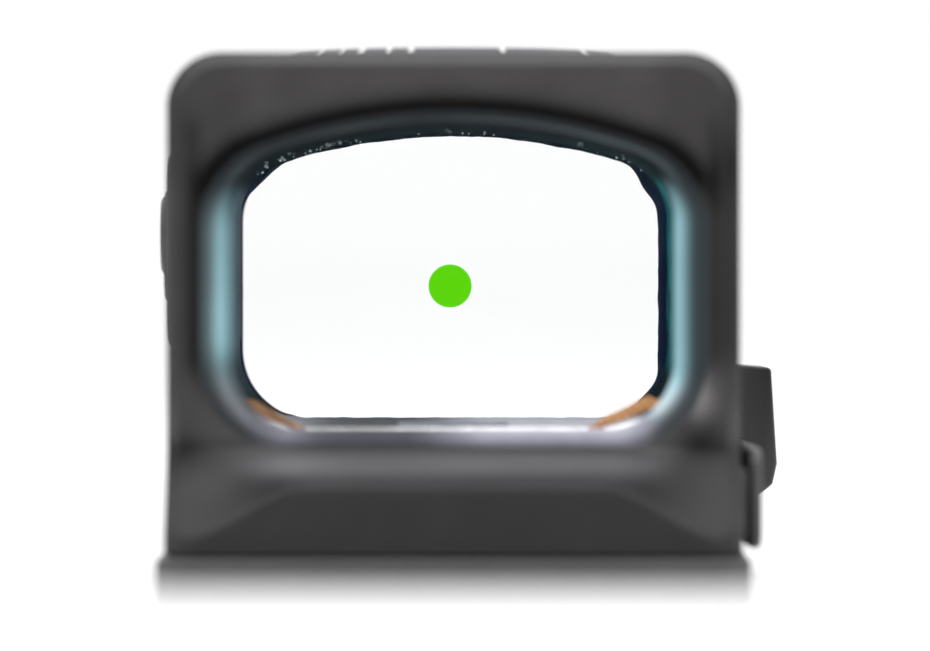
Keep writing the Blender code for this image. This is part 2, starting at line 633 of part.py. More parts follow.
def tilted(mesh, y, z):
    """Tilt a mesh made at the origin and move it into place."""
    bmesh.ops.rotate(mesh, cent=(0, 0, 0), matrix=Matrix.Rotation(LED_TILT, 3, "X"),
                     verts=mesh.verts)
    bmesh.ops.translate(mesh, vec=(0, y, z), verts=mesh.verts)
    return mesh


solid("led_holder", prism(LED_HOLDER, "x", -3.0, 3.0), "plastic")
solid("led_board", tilted(block(-2.2, 2.2, -0.12, 0.12, -0.62, 0.5), -4.42, 8.66), "board")
led = block(-0.4, 0.4, 0.0, 0.3, -0.25, 0.25)
bmesh.ops.bevel(led, geom=list(led.edges), offset=0.06, segments=1, affect="EDGES")
solid("led_emitter", tilted(led, -4.26, 8.76), "led")
solid("led_ribbon", prism(LED_RIBBON, "y", -7.86, -7.7), "amber")

# ------------------------------------------------------------------ elevation adjuster
LEAF_T = 0.12            # thickness of leaf springs and battery contacts
# radius, z: cap from the middle outwards, then the hub with its clip groove
DIAL = [
    (0, DIAL_Z1 - 0.12), (6.9, DIAL_Z1 - 0.12), (7.1, DIAL_Z1), (9.1, DIAL_Z1),
    (DIAL_R, DIAL_Z1 - 0.45), (DIAL_R, DIAL_Z0 + 0.1), (DIAL_R - 0.1, DIAL_Z0), (HUB_R, DIAL_Z0),
    (HUB_R, 27.0), (2.05, 26.95), (2.05, 26.64), (HUB_R, 26.62), (HUB_R, 26.56), (0, 26.56)]
ELEVATION_PLUNGER = [(0, 28.7), (1.0, 28.7), (1.2, 28.5), (1.2, 26.42), (0, 26.42)]

dial = solid("elevation_dial", turned(DIAL, "z", DIAL_AXIS, 40), "anodised",
             (*DIAL_AXIS, DIAL_Z0))
drill(dial, "z", DIAL_AXIS, 25.0, 28.9, 1.26, 18)
cut(dial, block(-4.2, 4.2, DIAL_Y - 0.55, DIAL_Y + 0.55, 29.12, 30.5))      # coin slot
solid("elevation_seal", torus("z", DIAL_AXIS, 28.09, DIAL_SEAL_R, 0.34, 26, 6), "rubber",
      (*DIAL_AXIS, 28))
solid("elevation_clip", c_clip("z", DIAL_AXIS, 26.66, 26.9, 2.1, 3.5, 50), "steel",
      (*DIAL_AXIS, 26.7))
solid("elevation_click_spring",
      strip(bow(-3.3, 3.3, 28.14, 28.38), LEAF_T, "y", CLICK_Y0, CLICK_Y1), "steel")
plunger = solid("elevation_plunger", turned(ELEVATION_PLUNGER, "z", DIAL_AXIS, 16), "brass",
                (*DIAL_AXIS, 26.4))
add(plunger, block(-0.45, 0.45, DIAL_Y - 1.15, DIAL_Y + 1.15, 25.96, 26.45))    # tongue
solid("elevation_return_spring", strip(bow(0.0, 8.0, 7.42, 7.58), LEAF_T, "x", -2.0, 2.0), "steel")

# ------------------------------------------------------------------ windage adjuster
# radius, x: head, shank, clip groove
WIND_SCREW = [
    (0, 18.12), (1.3, 18.09), (1.75, 17.98), (1.98, 17.75), (1.98, 16.84), (1.4, 16.84),
    (1.4, 14.68), (1.15, 14.64), (1.15, 14.32), (1.4, 14.28), (1.4, 14.12), (0, 14.12)]
WIND_PLUNGER = [(0, 16.2), (0.65, 16.2), (0.8, 16.05), (0.8, 13.36), (0, 13.36)]
DETENT_PLUG = [(0, 14.98), (0.6, 14.98), (0.69, 14.9), (0.69, 14.4), (0, 14.4)]     # radius, y
WIND_LEAF = [(-13.68, 8.0), (-13.58, 9.5), (-13.54, 11.0), (-13.58, 12.5), (-13.68, 14.0)]  # x, y
BALL_AT = (DETENT_X, WIND_Y + 1.86, WIND_Z)

screw = solid("windage_screw", turned(WIND_SCREW, "x", WIND_AXIS, 24), "black_steel",
              (16.0, *WIND_AXIS))
drill(screw, "x", WIND_AXIS, 13.0, 16.55, 0.86, 16)
cut(screw, block(17.6, 19.0, WIND_Y - 0.3, WIND_Y + 0.3, WIND_Z - 3, WIND_Z + 3))   # slot
solid("windage_seal", torus("x", WIND_AXIS, 16.51, 1.77, 0.26, 20, 6), "rubber",
      (16.5, *WIND_AXIS))
solid("windage_clip", c_clip("x", WIND_AXIS, 14.36, 14.6, 1.2, 2.35, 60, 16), "steel",
      (14.5, *WIND_AXIS))
plunger = solid("windage_plunger", turned(WIND_PLUNGER, "x", WIND_AXIS, 14), "brass",
                (13.4, *WIND_AXIS))
add(plunger, block(12.86, 13.42, WIND_Y - 0.78, WIND_Y + 0.78, WIND_Z - 0.36, WIND_Z + 0.36))
ball = bmesh.new()
bmesh.ops.create_icosphere(ball, subdivisions=2, radius=0.42)
bmesh.ops.translate(ball, vec=BALL_AT, verts=ball.verts)
solid("windage_click_ball", ball, "steel", BALL_AT)
solid("windage_click_spring",
      coil("y", DETENT_AXIS, 13.32, 14.36, radius=0.34, wire=0.07, turns=2.5, per_turn=10, sides=5),
      "steel", (DETENT_X, 13.4, WIND_Z))
solid("windage_click_plug", turned(DETENT_PLUG, "y", DETENT_AXIS, 14), "brass",
      (DETENT_X, 14.7, WIND_Z))
solid("windage_return_spring", strip(WIND_LEAF, 0.1, "z", 14.0, 18.0), "steel")

# ------------------------------------------------------------------ brightness buttons
BEZEL = (1.5, 17.8, 13.2, 24.0)     # y from, y to, z from, z to
FLANGE_R = BUTTON_R + 0.4
# radius, x
BUTTON = [
    (0, -15.36), (FLANGE_R, -15.36), (FLANGE_R, -15.62), (BUTTON_R, -15.62),
    (BUTTON_R, -16.22), (BUTTON_R - 0.18, -16.36), (0, -16.38)]
DOME = [
    (0, -14.98), (0.7, -14.96), (1.4, -14.88), (1.9, -14.74), (1.9, -14.66),
    (1.75, -14.68), (1.3, -14.8), (0.7, -14.87), (0, -14.89)]
# x, z: from the button board down the wall into the bay
BUTTON_RIBBON = [
    (-14.24, 17.3), (-13.78, 17.3), (-13.6, 17.1), (-13.6, 9.0), (-13.6, 5.4),
    (-13.45, 5.25), (-12.3, 5.25)]

bezel = solid("button_bezel", loft([
    (rounded(*BEZEL, 2.2, 5), -15.26),
    (rounded(*BEZEL, 2.2, 5), -15.7),
    (rounded(*shrunk(BEZEL, 0.4), 1.8, 5), -16.05)], "x"), "plastic")
for name, y in BUTTONS:
    centre = (y, BUTTON_Z)
    drill(bezel, "x", centre, -17.0, -15.0, BUTTON_R + 0.08, 24)
    drill(bezel, "x", centre, -15.66, -15.0, FLANGE_R + 0.1, 24)
    solid("brightness_%s_button" % name, turned(BUTTON, "x", centre, 24), "rubber",
          (-15.9, *centre))
    solid("switch_dome_" + name, turned(DOME, "x", centre, 16), "steel", (-14.8, *centre))
solid("button_board", prism(rounded(*shrunk(BUTTON_POCKET, 0.3), 0.6, 3), "x", -14.62, -14.28),
      "board")
solid("button_ribbon", strip(BUTTON_RIBBON, 0.1, "y", RIBBON_Y0, RIBBON_Y1), "amber")

# ------------------------------------------------------------------ electronics and battery
# x, z
SIDE_CONTACT = [(-6.4, 4.93), (-4.3, 4.93), (-3.5, 5.2), (-2.85, 5.3), (-2.62, 5.1)]
TOP_CONTACT = [(-6.4, 4.93), (-5.9, 4.93), (-5.3, 6.26), (1.5, 6.28), (3.6, 6.18), (5.0, 6.26)]
# radius, z
COIN = [
    (0, 4.06), (6.6, 4.06), (6.7, 4.2), (7.8, 4.2), (COIN_R, 4.4), (COIN_R, 5.8),
    (7.8, 6.0), (0, 6.0)]
# radius, x
TRAY_SCREW = [
    (0, 16.42), (1.0, 16.42), (1.14, 16.3), (1.14, 15.99), (0.74, 15.99), (0.74, 13.1),
    (0.6, 12.95), (0, 12.95)]
TRAY_CAP = (-14.0, 6.6, 2.62, 8.0)  # y from, y to, z from, z to

solid("control_board", prism(rounded(-12.2, -4.9, -11.5, 11.5, 0.6, 3), "z", 4.2, 4.8), "board")
solid("controller_chip", block(-10.6, -7.0, 1.0, 4.6, 4.84, 5.6), "chip")
solid("battery_contact_side", strip(SIDE_CONTACT, LEAF_T, "y", -5.4, -3.2), "brass")
solid("battery_contact_top", strip(TOP_CONTACT, LEAF_T, "y", -8.6, -6.6), "brass")
solid("battery", turned(COIN, "z", COIN_AXIS, 28), "coin", (*COIN_AXIS, 5))

tray = solid("battery_tray", prism(rounded(-12.95, 4.35, 3.8, 6.02, 0.35, 3), "x", -2.85, 15.9),
             "plastic")
add(tray, loft([(rounded(*TRAY_CAP, 1.1), 15.66), (rounded(*TRAY_CAP, 1.1), 16.1),
                (rounded(*shrunk(TRAY_CAP, 0.35), 0.8), 16.4)], "x"))
drill(tray, "z", COIN_AXIS, 4.0, 7.0, COIN_R + 0.16, 28)
cut(tray, block(-4.0, -1.2, -6.3, -2.3, 4.1, 7.0))          # gap for the side contact
drill(tray, "x", TRAY_SCREW_AXIS, 15.0, 17.5, 0.85, 14)
drill(tray, "x", TRAY_SCREW_AXIS, 15.95, 17.5, 1.2, 16)
solid("tray_seal", tube(rounded(-13.75, 4.8, 3.1, 6.85, 0.8),
                        rounded(-13.1, 4.5, 3.65, 6.2, 0.5), "x", 15.24, 15.62), "rubber")
screw = solid("tray_screw", turned(TRAY_SCREW, "x", TRAY_SCREW_AXIS, 16), "steel",
              (15.0, *TRAY_SCREW_AXIS))
cut(screw, block(16.18, 17.5, TRAY_SCREW_Y - 0.16, TRAY_SCREW_Y + 0.16,
                 TRAY_SCREW_Z - 2, TRAY_SCREW_Z + 2))       # slot
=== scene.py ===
"""Enclosed dot sight: a windowed housing on a base plate, with an elevation dial on the roof,
two brightness buttons on the left side, and a battery tray and windage screw on the right.

The user looks along +Y from the -Y side. X runs to the right and Z up from the foot of the plate.
Sizes are in millimetres, and piece() scales each finished shape to metres.
"""
import math
import random

import bmesh
import bpy
import numpy as np
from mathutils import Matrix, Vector, noise
from mathutils.kdtree import KDTree


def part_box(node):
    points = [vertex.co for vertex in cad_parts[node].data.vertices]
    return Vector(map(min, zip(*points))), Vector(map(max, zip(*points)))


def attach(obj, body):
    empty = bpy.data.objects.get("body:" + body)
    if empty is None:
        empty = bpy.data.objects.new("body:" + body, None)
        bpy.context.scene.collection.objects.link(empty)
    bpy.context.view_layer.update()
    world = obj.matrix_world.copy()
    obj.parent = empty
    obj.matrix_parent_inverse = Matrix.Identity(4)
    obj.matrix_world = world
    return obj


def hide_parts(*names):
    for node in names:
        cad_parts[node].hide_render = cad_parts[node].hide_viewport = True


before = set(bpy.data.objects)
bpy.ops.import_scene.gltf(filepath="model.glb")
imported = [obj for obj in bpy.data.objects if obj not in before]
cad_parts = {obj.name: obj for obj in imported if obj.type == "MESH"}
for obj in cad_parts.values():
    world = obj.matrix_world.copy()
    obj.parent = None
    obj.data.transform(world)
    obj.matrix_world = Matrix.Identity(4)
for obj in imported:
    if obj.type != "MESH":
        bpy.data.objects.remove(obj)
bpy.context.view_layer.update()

MM = 0.001

# ------------------------------------------------------------------ sizes
HOUSING_LO, HOUSING_HI = [Vector(v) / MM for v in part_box("housing")]
DIAL_LO, DIAL_HI = [Vector(v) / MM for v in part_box("elevation_dial")]
HALF_W = -HOUSING_LO.x                 # from the left side, where nothing stands proud
TOP_Z, FOOT_Z = HOUSING_HI.z, HOUSING_LO.z
FRONT_Y, CHIN_Y = HOUSING_HI.y, HOUSING_LO.y
FRAME_Y = -15.0                        # flat frame round the rear window
SHOULDER_R = 2.9
CHAMFER = 0.74                         # round the user's side
CHIN_TOP_Z, CHIN_LIP_Z, CHIN_DROP = 8.1, 6.15, 2.7
LIP_DEPTH = 1.8
LIP_SEAT_Y = FRAME_Y + LIP_DEPTH
FRONT_SEAT_Y = 17.6

# window outlines: half width, foot z, head z, foot corner radius, head corner radius, head arch radius
LIP_OUT = (13.42, 8.1, 25.92, 4.7, 4.7, 30.0)
LIP_IN = (11.73, 9.0, 25.02, 3.7, 3.5, 29.5)
TUNNEL = (13.8, 7.3, 27.0, 2.0, 3.6, 34.0)
FRONT_SEAT = (14.3, 6.8, 27.45, 2.3, 3.9, 35.0)
REAR_PANE = (12.9, 8.15, 26.0, 2.6, 3.4, 33.0)
FRONT_PANE = (13.4, 7.7, 26.55, 2.4, 3.6, 34.0)
BEZEL_OUT = (14.22, 6.88, 27.37, 2.25, 3.85, 35.0)
BEZEL_IN = (12.75, 8.2, 25.95, 3.2, 3.5, 33.0)
GASKET_OUT = (14.2, 6.9, 27.35, 2.25, 3.85, 35.0)
GASKET_IN = (13.46, 7.64, 26.61, 2.45, 3.62, 34.0)
CLEAR = (12.1, 8.95, 25.25, 4.0, 3.66, 31.5)
CELL_OUT = (13.2, 7.85, 26.35, 2.4, 3.3, 33.0)
LENS_SEAT = (12.62, 8.42, 25.78, 4.2, 3.9, 32.0)
LENS_EDGE = (12.56, 8.48, 25.72, 4.16, 3.86, 32.0)
LOCK_RING_IN = (12.12, 8.93, 25.27, 4.0, 3.7, 31.5)
GIMBAL_OUT = (13.45, 7.62, 26.55, 2.2, 3.5, 33.5)
GIMBAL_IN = (12.75, 8.4, 25.62, 2.6, 3.5, 32.0)

# points per stretch of an outline: foot, lower corner, side, upper corner, head
FINE = (96, 22, 40, 22, 110)
GIMBAL_COUNTS = (50, 16, 24, 16, 80)
RING_COUNTS = (40, 16, 20, 16, 70)
PAD_COUNTS = (40, 16, 20, 16, 60)
LENS_COUNTS = (36, 14, 18, 14, 60)
PANE_COUNTS = (24, 14, 14, 14, 48)

# centres in the plane across each axis
PIVOT_Y, PIVOT_Z = -9.4, 17.1
UPRIGHT_PIVOT, CROSS_PIVOT = (0, PIVOT_Y), (PIVOT_Y, PIVOT_Z)
DIAL_Y = (DIAL_LO.y + DIAL_HI.y) / 2
DIAL_AXIS = (0, DIAL_Y)
WIND_AXIS = WIND_Y, WIND_Z = 11.0, 8.4
BUTTON_Y, BUTTON_Z, BUTTON_R = (6.6, 12.8), 19.45, 2.2
BATTERY_AXIS = BATTERY_X, BATTERY_Y = 5.6, -4.3
BATTERY_R = 8.0
TRAY_SCREW_AXIS = TRAY_SCREW_Y, TRAY_SCREW_Z = 5.6, 5.2
MOUNT_Y = (-18.2, 17.7)
PLATE_SCREWS = [(x, y) for y in MOUNT_Y for x in (-10.5, 10.5)]
COVER_HOLES = [(x, y) for y in (-15.2, 14.0) for x in (-11.8, 11.8)]
# face of the windage boss: x and z at its lower and upper corners
BOSS_LOW, BOSS_HIGH = (18.22, 6.6), (17.88, 11.98)


# ------------------------------------------------------------------ shader helpers
class Graph:
    """Short calls for building a node tree."""

    def __init__(self, tree):
        self.tree = tree
        tree.nodes.clear()

    def put(self, socket, value):
        """Link or set a socket. None leaves its default."""
        if value is None:
            return
        if isinstance(value, bpy.types.NodeSocket):
            self.tree.links.new(value, socket)
        elif isinstance(value, tuple) and socket.type == "RGBA" and len(value) == 3:
            socket.default_value = (*value, 1)
        else:
            socket.default_value = value

    def node(self, kind, inputs=None, **attrs):
        node = self.tree.nodes.new("ShaderNode" + kind)
        for key, value in attrs.items():
            setattr(node, key, value)
        for key, value in (inputs or {}).items():
            self.put(node.inputs[key], value)
        return node

    def math(self, operation, a, b, clamp=False):
        return self.node("Math", {0: a, 1: b}, operation=operation, use_clamp=clamp).outputs[0]


class Material(Graph):
    """A material's node tree. Textures are placed in millimetres."""

    def __init__(self, name):
        self.material = bpy.data.materials.new(name)
        self.material.use_nodes = True
        super().__init__(self.material.node_tree)
        self.out = self.node("OutputMaterial")
        self.pos = self.scaled(self.node("TexCoord").outputs["Object"], 1 / MM)

    def scaled(self, vector, scale):
        return self.node("VectorMath", {0: vector, "Scale": scale}, operation="SCALE").outputs[0]

    def noise(self, scale, detail, rough, stretch=None):
        vector = self.pos
        if stretch:
            vector = self.node("VectorMath", {0: vector, 1: stretch}, operation="MULTIPLY").outputs[0]
        inputs = {"Vector": vector, "Scale": scale, "Detail": detail, "Roughness": rough}
        return self.node("TexNoise", inputs).outputs["Fac"]

    def mix(self, factor, a, b):
        return self.node("Mix", {0: factor, 6: a, 7: b}, data_type="RGBA").outputs[2]

    def remap(self, value, span, to=(0.0, 1.0)):
        inputs = {"Value": value, "From Min": span[0], "From Max": span[1],
                  "To Min": to[0], "To Max": to[1]}
        return self.node("MapRange", inputs, clamp=True).outputs[0]

    def bump(self, height, strength, depth, normal=None):
        inputs = {"Height": height, "Strength": strength, "Distance": depth * MM, "Normal": normal}
        return self.node("Bump", inputs).outputs[0]

    def edges(self, radius, gain):
        """A mask that is 0 on flats and reaches gain on edges, and the rounded normal."""
        soft = self.node("Bevel", {"Radius": radius * MM}, samples=4).outputs[0]
        flat = self.node("NewGeometry").outputs["Normal"]
        dot = self.node("VectorMath", {0: soft, 1: flat}, operation="DOT_PRODUCT")
        return self.remap(dot.outputs["Value"], (0.995, 0.80), to=(0.0, gain)), soft

    def attribute(self, name, output):
        return self.node("Attribute", attribute_name=name).outputs[output]

    def blend(self, factor, a, b):
        return self.node("MixShader", {0: factor, 1: a.outputs[0], 2: b.outputs[0]})

    def done(self, shader):
        self.put(self.out.inputs["Surface"], shader.outputs[0])
        return self.material

    def principled(self, **inputs):
        """Finish with a principled surface. Underscores in the names stand for spaces."""
        inputs = {key.replace("_", " "): value for key, value in inputs.items()}
        return self.done(self.node("BsdfPrincipled", inputs))

    def glowing(self, diffuse, gloss, gloss_share, painted_glow):
        """Finish with a black surface, some gloss and a painted glow for light. The first two are node
        inputs.
        """
        base = self.blend(gloss_share, self.node("BsdfDiffuse", diffuse),
                          self.node("BsdfGlossy", gloss))
        glow = self.node("Emission", {"Color": painted_glow, "Strength": 1.0})
        return self.done(self.node("AddShader", {0: base.outputs[0], 1: glow.outputs[0]}))


MID = (0.3, 0.7)                       # the span that most noise values fall in


def shade(colour, factor):
    return tuple(c * factor for c in colour)


def around(value, low, high):
    return (value - low, value + high)


# ------------------------------------------------------------------ materials
def anodised(name, base, rough, spec, wear):
    """Bead-blasted, hard-anodised aluminium: fine grain, faint mottling, polished edges."""
    t = Material(name)
    mottle = t.noise(scale=0.35, detail=4, rough=0.6)
    fine = t.noise(scale=9.0, detail=2, rough=0.5)
    grain = t.noise(scale=26.0, detail=2, rough=0.6)
    colour = t.mix(t.remap(mottle, MID), shade(base, 0.86), shade(base, 1.12))
    colour = t.mix(t.remap(fine, (0.35, 0.65), to=(0.0, 0.35)), colour, shade(base, 0.7))
    edge, soft = t.edges(radius=0.10, gain=wear)
    patchy = t.remap(t.noise(scale=1.6, detail=4, rough=0.65), (0.38, 0.62))
    edge = t.math("MULTIPLY", edge, patchy)
    colour = t.mix(edge, colour, (0.20, 0.195, 0.20))
    roughness = t.math("ADD", t.remap(mottle, MID, to=around(rough, 0.05, 0.05)),
                       t.remap(grain, MID, to=(-0.04, 0.04)))
    roughness = t.math("SUBTRACT", roughness, t.math("MULTIPLY", edge, 0.18))
    # painted light and shade, stored per vertex on the mesh, lightens or darkens the finish
    painted_light = t.math("MAXIMUM", t.math("ADD", 1.0, t.attribute("painted_light", "Fac")), 0.05)
    normal = t.bump(grain, strength=0.15, depth=0.03, normal=soft)
    normal = t.bump(fine, strength=0.06, depth=0.05, normal=normal)
    return t.principled(Base_Color=t.scaled(colour, painted_light), Roughness=roughness,
                        Specular_IOR_Level=t.math("MULTIPLY", painted_light, spec),
                        Normal=normal, Coat_Roughness=0.25)


def machined(name, base, rough, dark=0.75, worn=1.15):
    """Turned metal with a fine streaky grain."""
    t = Material(name)
    lines = t.noise(scale=18.0, detail=3, rough=0.6, stretch=(1, 1, 1))
    broad = t.noise(scale=0.9, detail=3, rough=0.5)
    colour = t.mix(t.remap(lines, MID), shade(base, dark), shade(base, worn))
    colour = t.mix(t.remap(broad, (0.35, 0.7), to=(0, 0.3)), colour, shade(base, 0.6))
    return t.principled(Base_Color=colour, Metallic=1.0,
                        Roughness=t.remap(lines, MID, to=around(rough, 0.06, 0.1)),
                        Normal=t.bump(lines, strength=0.25, depth=0.012))


def moulded(name, base, rough, grain, depth, spec=0.4):
    """Moulded rubber or plastic with a fine spark-eroded texture."""
    t = Material(name)
    texture = t.noise(scale=grain, detail=4, rough=0.6)
    cells = t.node("TexVoronoi", {"Vector": t.pos, "Scale": grain * 0.8}).outputs["Distance"]
    dust = t.noise(scale=1.1, detail=5, rough=0.65)
    dusty = tuple(c * 1.7 + 0.01 for c in base)
    height = t.math("ADD", texture, t.math("MULTIPLY", cells, 0.5))
    return t.principled(Base_Color=t.mix(t.remap(dust, (0.4, 0.75), to=(0, 0.25)), base, dusty),
                        Roughness=t.remap(texture, MID, to=around(rough, 0.08, 0.08)),
                        Specular_IOR_Level=spec,
                        Normal=t.bump(height, strength=depth, depth=0.03))


def coated_glass(name, coat, gloss):
    """Thin coated optic: light passes straight through and the reflection is coloured."""
    t = Material(name)
    fresnel = t.node("LayerWeight", {"Blend": 0.18}).outputs["Fresnel"]
    smear = t.noise(scale=0.22, detail=4, rough=0.6)
    clear = t.node("BsdfTransparent", {"Color": (0.9985, 0.9995, 0.9995)})
    mirror = t.node("BsdfGlossy", {"Color": t.mix(fresnel, coat, (0.95, 0.98, 1.0)),
                                   "Roughness": t.remap(smear, (0.35, 0.75), to=(0.015, 0.05))})
    share = t.math("ADD", t.math("MULTIPLY", fresnel, 0.8), 0.0015)
    share = t.math("MULTIPLY", share, gloss, clamp=True)
    shadow = t.node("LightPath").outputs["Is Shadow Ray"]
    share = t.math("MULTIPLY", share, t.math("SUBTRACT", 1.0, shadow))
    return t.done(t.blend(share, clear, mirror))


def film(name):
    """Amber polyimide ribbon with faint copper tracks, and a painted glow for light, stronger to the
    right.
    """
    t = Material(name)
    x = t.node("SeparateXYZ", {0: t.pos}).outputs[0]
    tracks = t.node("TexWave", {"Vector": t.pos, "Scale": 1.1, "Distortion": 2.2, "Detail": 1.0,
                                "Detail Scale": 0.5},
                    wave_type="BANDS", bands_direction="DIAGONAL").outputs["Fac"]
    blotch = t.noise(scale=1.3, detail=4, rough=0.6)
    colour = t.mix(t.remap(tracks, (0.45, 0.62)), (0.52, 0.235, 0.085), (0.76, 0.40, 0.15))
    colour = t.mix(t.remap(blotch, (0.38, 0.68), to=(0, 0.65)), colour, (0.30, 0.115, 0.04))
    # painted light: the emission grows from left to right
    return t.principled(Base_Color=colour, Roughness=t.remap(blotch, MID, to=(0.22, 0.42)),
                        Specular_IOR_Level=0.6, Coat_Weight=0.5, Coat_Roughness=0.12,
                        Normal=t.bump(blotch, strength=0.3, depth=0.06), Emission_Color=colour,
                        Emission_Strength=t.remap(x, (0.0, 4.0), to=(0.10, 0.48)))


def circuit(name):
    """Solder-masked board with tracks and pads."""
    t = Material(name)
    tracks = t.node("TexBrick", {"Vector": t.pos, "Scale": 1.0, "Mortar Size": 0.035,
                                 "Color1": (0.02, 0.14, 0.07), "Color2": (0.015, 0.11, 0.055),
                                 "Mortar": (0.04, 0.24, 0.11)}).outputs
    spots = t.node("TexVoronoi", {"Vector": t.pos, "Scale": 0.9}).outputs["Distance"]
    pad = t.remap(spots, (0.16, 0.12))
    height = t.math("ADD", tracks["Fac"], pad)
    return t.principled(Base_Color=t.mix(pad, tracks["Color"], (0.72, 0.52, 0.22)), Metallic=pad,
                        Roughness=t.remap(pad, (0, 1), to=(0.35, 0.22)), Coat_Weight=0.3,
                        Normal=t.bump(height, strength=0.3, depth=0.02))


def painted_mark(name):
    """White filler in engraved marks: chalky, slightly uneven."""
    t = Material(name)
    chalk = t.noise(scale=5.0, detail=4, rough=0.65)
    colour = t.mix(t.remap(chalk, (0.35, 0.7)), (0.86, 0.86, 0.84), (0.60, 0.60, 0.60))
    return t.principled(Base_Color=colour, Roughness=0.6,
                        Normal=t.bump(chalk, strength=0.4, depth=0.02))


def polished_lip(name):
    """Lip of the window. The colour on the mesh is a painted reflection of the light the coated glass
    throws on it.
    """
    t = Material(name)
    fine = t.noise(scale=14.0, detail=3, rough=0.6)
    broad = t.noise(scale=0.8, detail=3, rough=0.5, stretch=(1, 1, 0.25))
    dull = (0.02, 0.03, 0.035)
    # painted reflection read from the mesh, broken up by dull patches
    painted_glow = t.attribute("painted_glow", "Color")
    painted_glow = t.mix(t.remap(broad, (0.4, 0.7), to=(0.0, 0.16)), painted_glow, dull)
    painted_glow = t.mix(t.remap(fine, (0.5, 0.75), to=(0.0, 0.12)), painted_glow, dull)
    return t.glowing({"Color": (0.008, 0.0085, 0.0095),
                      "Normal": t.bump(fine, strength=0.10, depth=0.02)},
                     {"Color": (0.6, 0.7, 0.75), "Roughness": t.remap(fine, MID, to=(0.24, 0.36)),
                      "Normal": t.bump(fine, strength=0.08, depth=0.02)},
                     gloss_share=0.014, painted_glow=painted_glow)


def barrel_black(name, glow=None):
    """Flat black with a painted glow for the light that skims along it: even, or painted on the mesh.
    """
    t = Material(name)
    fine = t.noise(scale=12.0, detail=3, rough=0.6)
    broad = t.noise(scale=0.9, detail=4, rough=0.6)
    # painted glow: the even colour given, or the one stored on the mesh
    painted_glow = t.mix(0.0, glow, glow) if glow else t.attribute("painted_glow", "Color")
    patches = t.remap(broad, (0.42, 0.68), to=(0.0, 0.15 if glow else 0.45))
    painted_glow = t.mix(patches, painted_glow, t.scaled(painted_glow, 0.25))
    black = t.mix(t.remap(fine, MID), (0.0045, 0.005, 0.0062), (0.009, 0.010, 0.012))
    return t.glowing({"Color": black, "Normal": t.bump(fine, strength=0.4, depth=0.03)},
                     {"Color": (0.5, 0.5, 0.52), "Roughness": 0.38,
                      "Normal": t.bump(fine, strength=0.3, depth=0.02)},
                     gloss_share=0.006, painted_glow=painted_glow)


def sealant(name):
    """Black optical cement: wet gloss over a lumpy bead, with a painted glow from the mesh."""
    t = Material(name)
    lumps = t.noise(scale=3.0, detail=4, rough=0.6)
    # blue-black cement; the blue also stands in for a faint blue fringe of light at the edge
    black = t.mix(t.remap(lumps, (0.4, 0.7)), (0.003, 0.0035, 0.010), (0.006, 0.010, 0.020))
    return t.glowing({"Color": black, "Normal": t.bump(lumps, strength=0.5, depth=0.08)},
                     {"Color": (0.55, 0.6, 0.75), "Roughness": 0.16,
                      "Normal": t.bump(lumps, strength=0.5, depth=0.08)},
                     gloss_share=0.010, painted_glow=t.attribute("painted_glow", "Color"))


def fleck(name):
    """Pale crumbs of filler, their colour and faint glow painted glints."""
    t = Material(name)
    crumb = t.noise(scale=20.0, detail=3, rough=0.6)
    colour = t.mix(t.remap(crumb, (0.35, 0.7)), (0.80, 0.84, 0.82), (0.42, 0.50, 0.52))
    return t.principled(Base_Color=colour, Roughness=0.4, Emission_Color=colour,
                        Emission_Strength=0.28, Normal=t.bump(crumb, strength=0.4, depth=0.02))


def lit_dot(name, colour):
    """Seen only from the user's side and clear from the front."""
    t = Material(name)
    drift = t.remap(t.noise(scale=0.5, detail=1, rough=0.3), (0.2, 0.8))
    glow = t.node("Emission", {"Color": t.mix(drift, shade(colour, 0.985), colour),
                               "Strength": 1.0})
    clear = t.node("BsdfTransparent", {"Color": (1, 1, 1)})
    incoming = t.node("NewGeometry").outputs["Incoming"]
    facing_y = t.node("SeparateXYZ", {0: incoming}).outputs[1]
    return t.done(t.blend(t.math("LESS_THAN", facing_y, 0.0), clear, glow))


def emitter(name):
    """Lit green diode."""
    t = Material(name)
    cloud = t.noise(scale=8.0, detail=3, rough=0.6)
    colour = t.mix(t.remap(cloud, MID), (0.30, 0.85, 0.12), (0.55, 0.95, 0.25))
    return t.principled(Base_Color=colour, Roughness=0.15, Coat_Weight=0.6, Emission_Color=colour,
                        Emission_Strength=1.4, Normal=t.bump(cloud, strength=0.15, depth=0.02))


M_RIM = polished_lip("window_lip")
M_SEALANT = sealant("lens_cement")
M_PAINTED_GLINT = fleck("painted_glint_flecks")
M_DOT = lit_dot("lit_dot", colour=(0.107, 0.672, 0.0))
M_COIN = machined("coin_cell_steel", base=(0.62, 0.62, 0.61), rough=0.24, dark=0.82, worn=1.1)
M_EMITTER = emitter("green_emitter")
M_HOUSING = anodised("housing_anodised", base=(0.036, 0.0335, 0.0355), rough=0.47, spec=0.42,
                     wear=0.30)
M_PLATE = anodised("plate_anodised", base=(0.040, 0.038, 0.039), rough=0.52, spec=0.40, wear=0.35)
M_DIAL = anodised("dial_anodised", base=(0.050, 0.048, 0.055), rough=0.40, spec=0.5, wear=0.35)
M_BARREL = barrel_black("barrel_black")
